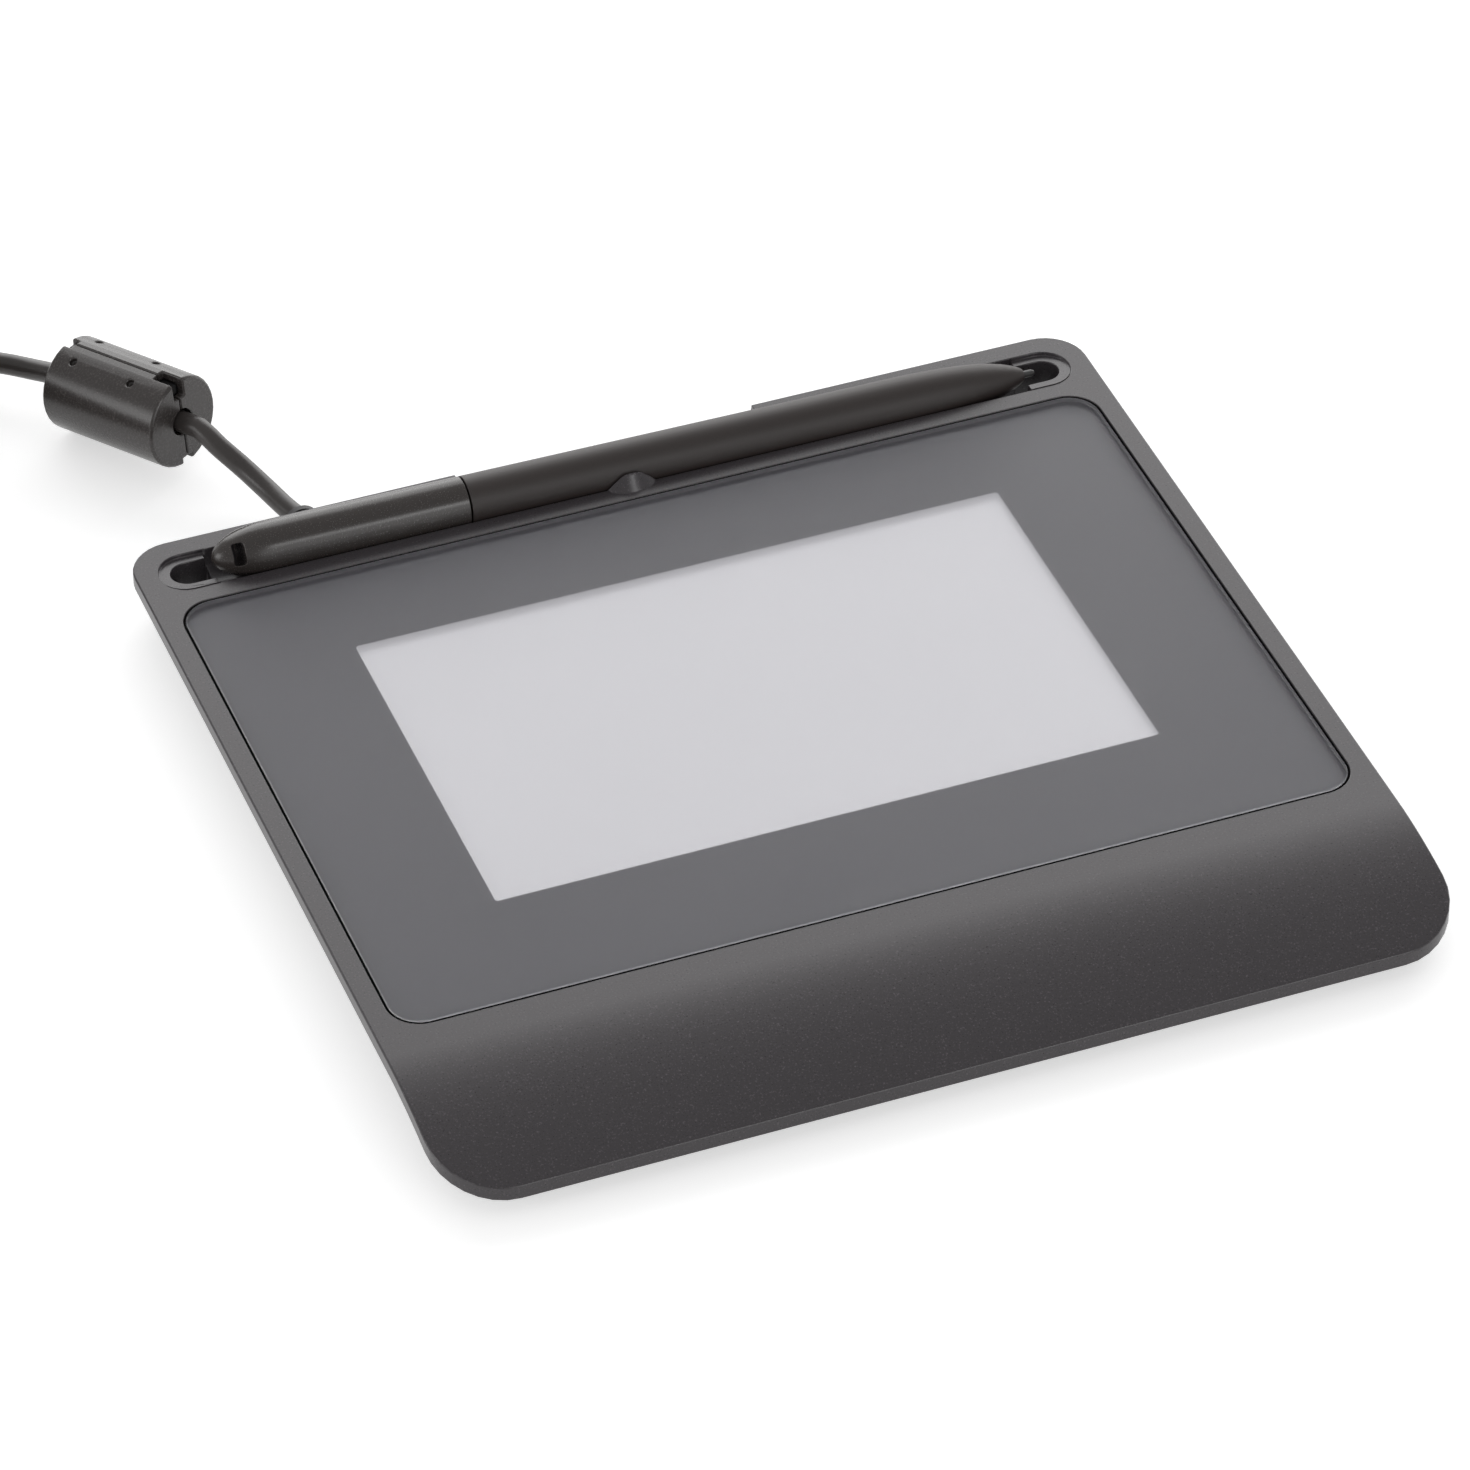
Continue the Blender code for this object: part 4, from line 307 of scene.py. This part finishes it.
# Pen sensor and display stack
# From below: a metal shield, the sensor's circuit board, the backlight's metal tray and the panel.
board_print, print_in, print_out = new_group(
    "circuit_board",
    {"Color": (0.02, 0.1, 0.05, 1), "Tracks": 900.0, "Track Light": 0.6, "Roughness": 0.35},
    ("Color", "Roughness", "Height"))
print_place = add_node(board_print, "ShaderNodeTexCoord")
print_tracks = add_node(board_print, "ShaderNodeTexBrick",
                        {"Vector": print_place.outputs["Object"], "Scale": print_in.outputs["Tracks"],
                         "Color1": (0, 0, 0, 1), "Color2": (0, 0, 0, 1), "Mortar": (1, 1, 1, 1),
                         "Mortar Size": 0.06, "Mortar Smooth": 0.2, "Brick Width": 2.3, "Row Height": 0.5})
print_weave = add_node(board_print, "ShaderNodeTexNoise",
                       {"Vector": print_place.outputs["Object"], "Scale": 260.0, "Detail": 2.0})
print_weave_light = add_node(board_print, "ShaderNodeMapRange",
                             {"Value": print_weave.outputs[0], "To Min": 0.8, "To Max": 1.2})
print_light = add_node(board_print, "ShaderNodeMath",
                       {0: print_tracks.outputs[0], 1: print_in.outputs["Track Light"],
                        2: print_weave_light.outputs[0]}, operation="MULTIPLY_ADD")
board_print.links.new(shade_by(board_print, print_in.outputs["Color"], print_light.outputs[0]),
                      print_out.inputs["Color"])
board_rough_swing = 0.2
print_rough = add_node(board_print, "ShaderNodeMath",
                       {0: print_weave.outputs[0], 1: board_rough_swing, 2: print_in.outputs["Roughness"]},
                       operation="MULTIPLY_ADD")
board_print.links.new(print_rough.outputs[0], print_out.inputs["Roughness"])
board_print.links.new(print_tracks.outputs[0], print_out.inputs["Height"])
foil_look = finish("shield_foil", turned_metal, {"Color": (0.55, 0.55, 0.57), "Lines": 1500.0},
                   bump=0.00001, sockets={"Metallic": 1.0})
dress("sensor_shield", foil_look)
tray_look = finish("backlight_tray", turned_metal, {"Color": (0.66, 0.66, 0.67), "Lines": 2500.0},
                   bump=0.00001, sockets={"Metallic": 1.0})
dress("lcd_backlight", tray_look)
board_look = finish("solder_mask", board_print, {"Color": (0.015, 0.10, 0.045)}, bump=0.00002)
dress("pen_sensor_board", board_look)
# The panel is blank; its faint glow, as if lit from behind, is painted light that softens the shadow the
# border's edge casts on it.
panel_glow_look = finish("blank_panel_painted_glow", grain,
                    {"Color": (0.245, 0.240, 0.260), "Grain": 5000.0, "Contrast": 0.03, "Mottle": 0.02,
                     "Roughness": 0.45}, bump=0.000002,
                    sockets={"Emission Color": (0.300, 0.295, 0.312, 1), "Emission Strength": 1.0})
dress("lcd_panel", panel_glow_look)

# Main board
# Green board on two bosses, with its processor, a tinned shield can, the header of the cable's lead
# and a socket for each flat ribbon.
dress("main_board", board_look)
ivory_look = finish("ivory_connector", grain,
                    {"Color": (0.68, 0.64, 0.54), "Grain": 2500.0, "Contrast": 0.1, "Roughness": 0.45},
                    bump=0.00001)
for socket_name in ("display_socket", "sensor_socket", "usb_header"):
    dress(socket_name, ivory_look)
epoxy_look = finish("black_epoxy", grain,
                    {"Color": (0.02, 0.02, 0.021), "Grain": 4000.0, "Contrast": 0.6, "Roughness": 0.55},
                    bump=0.00001)
dress("processor_chip", epoxy_look)
tin_look = finish("tinned_steel", turned_metal, {"Color": (0.62, 0.61, 0.60), "Lines": 1200.0},
                  bump=0.00001, sockets={"Metallic": 1.0})
dress("shield_can", tin_look)
amber_look = finish("amber_film", board_print,
                    {"Color": (0.42, 0.20, 0.04), "Tracks": 1400.0, "Track Light": 0.5, "Roughness": 0.2},
                    bump=0.00001)
dress("display_ribbon", amber_look)
dress("sensor_ribbon", amber_look)

# Top housing
# One grey moulding with a fine grain whose lighter specks are painted glints for its sparkle: the deck
# round the glass, the palm rest, the pen tray with its shelves and slots, and the lug that the pen is pushed
# under.
top_look = finish("deck_plastic", grain,
                  {"Color": (0.047, 0.0415, 0.0455), "Grain": 3200.0, "Contrast": 0.3, "Mottle": 0.06,
                   "Glint Speck": 1.2, "Roughness": 0.30, "Roughness Swing": 0.15}, bump=0.00001)
dress("top_housing", top_look, soften=0.00014)

# Printed border and gasket
# A grey border, printed under the glass and round its edge, hides the display's rim; its edge part is
# painted lighter as painted light. A black foam gasket bonds the glass and stands up round it; its
# black lips are painted shade, so that the groove reads black.
glass_centre = (0.0, 0.00825)
glass_size = (0.1540, 0.1051)
glass_radius = 0.0050
window_centre = (0.0, 0.01055)
window_size = (0.1080, 0.0648)
window_radius = 0.0006
corner_steps = 12


def rounded_loop(centre, size, radius, grow, height):
    """Points of a rounded rectangle, moved outward by so much, at a height."""
    radius += grow
    loop = []
    for corner, (side_x, side_y) in enumerate(((1, 1), (-1, 1), (-1, -1), (1, -1))):
        x = centre[0] + side_x * (size[0] / 2 + grow - radius)
        y = centre[1] + side_y * (size[1] / 2 + grow - radius)
        for step in range(corner_steps + 1):
            angle = math.radians(90 * corner + 90 / corner_steps * step)
            loop.append((x + radius * math.cos(angle), y + radius * math.sin(angle), height))
    return loop


def ring_piece(name, loops, look, node_name):
    """A closed ring whose section's corners run along these loops; it stands for a CAD node."""
    shell = bmesh.new()
    rows = [[shell.verts.new(point) for point in loop] for loop in loops]
    for row, following in zip(rows, rows[1:] + rows[:1]):
        for i in range(len(row)):
            k = (i + 1) % len(row)
            shell.faces.new((row[i], row[k], following[k], following[i]))
    bmesh.ops.recalc_face_normals(shell, faces=shell.faces)
    mesh = bpy.data.meshes.new(name)
    shell.to_mesh(mesh)
    shell.free()
    mesh.materials.append(look)
    piece = bpy.data.objects.new(name, mesh)
    bpy.context.scene.collection.objects.link(piece)
    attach(piece, "pad")
    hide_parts(node_name)
    return piece


border_look = finish("printed_border", grain,
                     {"Color": (0.0595, 0.0565, 0.0695), "Grain": 5000.0, "Contrast": 0.06, "Mottle": 0.03,
                      "Roughness": 0.7}, bump=0.0000002)
print_low, print_high, print_rise = 0.00911, 0.00918, 0.01018
print_inside, print_outside = 0.00002, 0.00007
border_loops = [rounded_loop(glass_centre, glass_size, glass_radius, grow, height) for grow, height in (
    (print_outside, print_low), (print_outside, print_rise),
    (print_inside, print_rise), (print_inside, print_high))]
border_loops += [rounded_loop(window_centre, window_size, window_radius, 0, height)
                 for height in (print_high, print_low)]
border = ring_piece("printed_border_ring", border_loops, border_look, "bezel_film")
edge_painted_light_look = finish("printed_edge_painted_light", grain,
                   {"Color": (0.118, 0.113, 0.130), "Grain": 5000.0, "Contrast": 0.06, "Mottle": 0.03,
                    "Roughness": 0.7}, bump=0.0000002)
border.data.materials.append(edge_painted_light_look)
# The part that stands round the glass's edge is painted lighter than the part under it: painted light, so
# that this upright wall, lit less through the glass, matches the flat border.
flat_print_ends = print_high + 0.0001
for face in border.data.polygons:
    face.material_index = int(face.center.z > flat_print_ends)
# The foam is near black: painted shade that makes the groove between glass and deck read black.
gasket_groove_shade_look = finish("foam_gasket", grain,
                     {"Color": (0.006, 0.006, 0.006), "Grain": 2500.0, "Contrast": 0.8, "Roughness": 0.95},
                     bump=0.00003, sockets={"Specular IOR Level": 0.1})
# Its section, as distance out from the glass's edge and height: a bed under the glass, and
# beside it a wall whose two thin lips nearly reach the deck's height, near black as painted shade in the
# groove.
gasket_section = ((-0.0045, 0.00810), (-0.0045, 0.00840), (0.00009, 0.00840), (0.00009, 0.01020),
                  (0.00014, 0.01020), (0.00014, 0.00985), (0.00036, 0.00985), (0.00036, 0.01022),
                  (0.00042, 0.01022), (0.00042, 0.00810))
ring_piece("foam_gasket_ring",
           [rounded_loop(glass_centre, glass_size, glass_radius, grow, height)
            for grow, height in gasket_section],
           gasket_groove_shade_look, "glass_adhesive")

# Cover glass
# One sheet of glass with an etched face that scatters reflections, flush in the deck inside a
# dark groove, its edges ground.
etch, etch_in, etch_out = new_group(
    "etched_face",
    {"Color": (1.0, 1.0, 1.0, 1), "Etch": 6000.0, "Roughness": 0.28},
    ("Color", "Roughness", "Height"))
etch_place = add_node(etch, "ShaderNodeTexCoord")
etch_fine = add_node(etch, "ShaderNodeTexNoise",
                     {"Vector": etch_place.outputs["Object"], "Scale": etch_in.outputs["Etch"],
                      "Detail": 1.0})
etch_touch = add_node(etch, "ShaderNodeTexNoise",
                      {"Vector": etch_place.outputs["Object"], "Scale": 28.0, "Detail": 4.0})
etch_touch_light = add_node(etch, "ShaderNodeMapRange",
                            {"Value": etch_touch.outputs[0], "To Min": 0.985, "To Max": 1.0})
etch.links.new(shade_by(etch, etch_in.outputs["Color"], etch_touch_light.outputs[0]),
               etch_out.inputs["Color"])
etch_rough_swing = 0.05
etch_rough = add_node(etch, "ShaderNodeMath",
                      {0: etch_touch.outputs[0], 1: etch_rough_swing, 2: etch_in.outputs["Roughness"]},
                      operation="MULTIPLY_ADD")
etch.links.new(etch_rough.outputs[0], etch_out.inputs["Roughness"])
etch.links.new(etch_fine.outputs[0], etch_out.inputs["Height"])
glass_look = finish("etched_glass", etch, {"Color": (0.98, 0.985, 0.98)}, bump=0.0000001,
                    sockets={"Transmission Weight": 1.0, "IOR": 1.13})
# Light falls straight through the glass on to what lies under it.
glass_path = add_node(glass_look.node_tree, "ShaderNodeLightPath")
glass_lets = add_node(glass_look.node_tree, "ShaderNodeMath",
                      {0: glass_path.outputs["Is Shadow Ray"], 1: glass_path.outputs["Is Diffuse Ray"]},
                      operation="MAXIMUM")
glass_holds = add_node(glass_look.node_tree, "ShaderNodeMath", {0: 1.0, 1: glass_lets.outputs[0]},
                       operation="SUBTRACT")
glass_look.node_tree.links.new(glass_holds.outputs[0],
                               glass_look.node_tree.nodes["Principled BSDF"].inputs["Alpha"])
dress("cover_glass", glass_look)

# Pen
# A satin rear body with a tether hole, pushed on a spigot into the softer matt front barrel.
# The nib runs through a ferrite core with its winding and rests on a pressure sensor.
# The rear body's lighter specks are painted glints.
rear_look = finish("satin_barrel", grain,
                   {"Color": (0.041, 0.035, 0.0325), "Grain": 4500.0, "Contrast": 0.25, "Mottle": 0.1,
                    "Glint Speck": 0.8, "Roughness": 0.26, "Roughness Swing": 0.1}, bump=0.000004)
dress("pen_rear_body", rear_look, soften=0.00008)
front_look = finish("matt_barrel", grain,
                    {"Color": (0.031, 0.0235, 0.0215), "Grain": 3500.0, "Contrast": 0.4, "Mottle": 0.1,
                     "Roughness": 0.5, "Roughness Swing": 0.15}, bump=0.00001)
dress("pen_front_barrel", front_look, soften=0.00008)
nib_look = finish("hard_nib", grain,
                  {"Color": (0.045, 0.044, 0.044), "Grain": 4000.0, "Contrast": 0.3, "Roughness": 0.4},
                  bump=0.000003)
dress("pen_nib", nib_look)
ferrite_look = finish("sintered_ferrite", grain,
                      {"Color": (0.03, 0.029, 0.03), "Grain": 2200.0, "Contrast": 0.9, "Roughness": 0.65},
                      bump=0.00002)
dress("pen_antenna_core", ferrite_look)
copper_look = finish("enamelled_copper", turned_metal, {"Color": (0.62, 0.24, 0.10), "Lines": 4000.0},
                     bump=0.00002, sockets={"Metallic": 1.0})
dress("pen_antenna_winding", copper_look)
dress("pen_pressure_sensor", tin_look)
dress("pen_board", board_look)

# Strain relief and inner lead
# A short ribbed sleeve of soft plastic, seated on the back wall, and the lead that runs on inside.
sleeve_look = finish("soft_sleeve", grain,
                     {"Color": (0.075, 0.073, 0.075), "Grain": 2800.0, "Contrast": 0.3, "Roughness": 0.55},
                     bump=0.00001)
dress("strain_relief", sleeve_look)
lead_look = finish("lead_jacket", grain,
                   {"Color": (0.03, 0.03, 0.03), "Grain": 3000.0, "Contrast": 0.3, "Roughness": 0.5},
                   bump=0.00001)
dress("inner_lead", lead_look)

# Cable
# One and a half metres of satin jacketed cable, 3.5 mm thick: out of the sleeve, through the clip-on
# ferrite, down to the table, and wound into a flat round coil with its plug beside it.
cord_diameter = 0.0035
exit_place = Vector((-0.0497, 0.07745, 0.0042))
sleeve_mouth = 0.08265
cable_starts_in = 0.0018
cable_straight_out = 0.0003
point_spacing = 0.0022
ferrite_frame = (Matrix.Translation((-0.0676, 0.11625, 0.008972))
                 @ Matrix.Rotation(math.radians(121.7), 4, "Z") @ Matrix.Rotation(math.radians(5.9), 4, "Y"))
ferrite_half = 0.0118
coil_centre = (-0.1240, 0.12625)
coil_mid_radius = 0.0210
coil_pitch = 0.0041
coil_layers = 4
turns_per_layer = 2.5
climb_turns = 0.25
coil_lowest = 0.00285
points_per_turn = 36
a_little_turn = 0.002
knot_steps = 24
plug_entry = Vector((-0.1640, 0.1178, 0.0040))


def smooth_path(route, spacing):
    """Points at an even spacing on a smooth curve through the route's points."""
    places = [Vector(p) for p in route]
    knots = [places[0] * 2 - places[1]] + places + [places[-1] * 2 - places[-2]]
    fine = []
    for a, b, c, d in zip(knots, knots[1:], knots[2:], knots[3:]):
        for i in range(knot_steps):
            t = i / knot_steps
            fine.append(0.5 * (2 * b + (c - a) * t + (2 * a - 5 * b + 4 * c - d) * t * t
                               + (3 * b - a - 3 * c + d) * t ** 3))
    fine.append(places[-1])
    steps = [(b - a).length for a, b in zip(fine, fine[1:])]
    count = max(2, round(sum(steps) / spacing))
    path, walked = [fine[0]], 0.0
    for a, b, step in zip(fine, fine[1:], steps):
        while walked + step >= len(path) * sum(steps) / count and len(path) < count:
            path.append(a.lerp(b, (len(path) * sum(steps) / count - walked) / step))
        walked += step
    return path + [fine[-1]]


def coil_place(turn):
    """A point of the cable's centre after so many turns, counted from the coil's start."""
    span = coil_pitch * turns_per_layer
    outer = coil_mid_radius + span / 2
    layer = min(max(int(turn / turns_per_layer), 0), coil_layers - 1)
    along = turn / turns_per_layer - layer
    radius = outer - span * along if layer % 2 == 0 else outer - span * (1 - along)
    climbed = 0.0
    for step in range(1, coil_layers):
        share = min(max((turn - step * turns_per_layer + climb_turns) / (2 * climb_turns), 0), 1)
        climbed += share * share * (3 - 2 * share)
    angle = math.pi / 2 + 2 * math.pi * turn
    return Vector((coil_centre[0] + radius * math.cos(angle), coil_centre[1] + radius * math.sin(angle),
                   coil_lowest + climbed * coil_pitch))


coil_turns = coil_layers * turns_per_layer
coil_count = round(coil_turns * points_per_turn)
coil = [coil_place(coil_turns * i / coil_count) for i in range(coil_count + 1)]
lead_in = (coil_place(-a_little_turn) - coil[0]).normalized()
lead_out = (coil_place(coil_turns + a_little_turn) - coil[-1]).normalized()
coil = [coil[0] + lead_in * cord_diameter] + coil + [coil[-1] + lead_out * cord_diameter]
near = ferrite_frame @ Vector((-ferrite_half, 0, 0))
far = ferrite_frame @ Vector((ferrite_half, 0, 0))
inward = (far - near).normalized()
# The route's bends on each side of the ferrite, counted from where the cable leaves the pad.
to_ferrite = ((-0.0012, 0.0088, 0.0001), (-0.0027, 0.0138, 0.0005), (-0.0050, 0.0188, 0.0020),
              (-0.0079, 0.0223, 0.0046))
to_coil = ((-0.0288, 0.0560, 0.0021), (-0.0333, 0.0604, 0.0016), (-0.0408, 0.0670, 0.0003),
           (-0.0503, 0.0722, -0.0009))
run_route = [Vector((exit_place.x, sleeve_mouth + cable_straight_out, exit_place.z))]
run_route += [exit_place + Vector(step) for step in to_ferrite]
run_route += [near - inward * cord_diameter, near, far, far + inward * cord_diameter]
run_route += [exit_place + Vector(step) for step in to_coil]
run_route += [coil[0] + lead_in * 2 * cord_diameter, coil[0]]
run = [Vector((exit_place.x, sleeve_mouth - cable_starts_in, exit_place.z))]
run += smooth_path(run_route, point_spacing)
# From the coil's end the tail runs left, bends round to the front and comes down into the plug.
reach = coil[-1].x - plug_entry.x
swing = coil[-1].y - plug_entry.y
drop = coil[-1].z - plug_entry.z
tail_route = [coil[-1]]
for across, back, down in ((0.30, 0.00, 0.04), (0.62, 0.07, 0.24), (0.86, 0.28, 0.55), (0.98, 0.58, 0.85)):
    tail_route.append(coil[-1] + Vector((-reach * across, -swing * back, -drop * down)))
tail_route += [plug_entry + Vector((0, cord_diameter, 0)), plug_entry]
tail = smooth_path(tail_route, point_spacing)
cable_points = run[:-1] + coil + tail[1:]

cable_curve = bpy.data.curves.new("usb_lead", "CURVE")
cable_curve.dimensions = "3D"
cable_curve.bevel_depth = cord_diameter / 2
cable_curve.bevel_resolution = 6
cable_curve.use_fill_caps = True
cable_curve.twist_mode = "MINIMUM"
cable_line = cable_curve.splines.new("POLY")
cable_line.points.add(len(cable_points) - 1)
for point, place in zip(cable_line.points, cable_points):
    point.co = (*place, 1)
cable_line.use_smooth = True
cable = bpy.data.objects.new("usb_lead", cable_curve)
bpy.context.scene.collection.objects.link(cable)
jacket_look = finish("cable_jacket", grain,
                     {"Color": (0.050, 0.0435, 0.041), "Grain": 2600.0, "Contrast": 0.3, "Mottle": 0.15,
                      "Roughness": 0.33, "Roughness Swing": 0.12}, bump=0.00001)
cable_curve.materials.append(jacket_look)
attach(cable, "pad")
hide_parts("usb_cable", "cable_coil", "plug_tail")

# Clip-on ferrite
# Two moulded shells that snap together round the cable, each holding half of a sintered ring.
# The shells' lighter specks are painted glints.
shell_look = finish("ferrite_shell", grain,
                    {"Color": (0.046, 0.0405, 0.0385), "Grain": 2600.0, "Contrast": 0.35, "Mottle": 0.1,
                     "Glint Speck": 1.0, "Roughness": 0.27, "Roughness Swing": 0.12}, bump=0.00001)
ferrite_pieces = [dress("ferrite_case_front", shell_look, soften=0.00025),
                  dress("ferrite_case_back", shell_look, soften=0.00025),
                  dress("ferrite_core_front", ferrite_look),
                  dress("ferrite_core_back", ferrite_look)]

# Tie
# A flat black band drawn round the coil.
tie_look = finish("coil_tie", grain,
                  {"Color": (0.02, 0.02, 0.02), "Grain": 2200.0, "Contrast": 0.6, "Roughness": 0.6},
                  bump=0.00002)
tie = dress("cable_tie", tie_look)

# Plug
# A satin overmould on the cable's end, with a nickel-plated shell round a white contact tongue.
overmould_look = finish("plug_overmould", grain,
                        {"Color": (0.045, 0.042, 0.041), "Grain": 2600.0, "Contrast": 0.3, "Roughness": 0.42},
                        bump=0.00001)
nickel_look = finish("nickel_shell", turned_metal,
                     {"Color": (0.72, 0.71, 0.69), "Lines": 1500.0, "Roughness": 0.12}, bump=0.000003,
                     sockets={"Metallic": 1.0})
white_look = finish("white_tongue", grain,
                    {"Color": (0.80, 0.80, 0.78), "Grain": 3000.0, "Contrast": 0.05, "Roughness": 0.4},
                    bump=0.000003)
plug_pieces = [dress("plug_overmould", overmould_look),
               dress("plug_shell", nickel_look),
               dress("plug_tongue", white_look)]
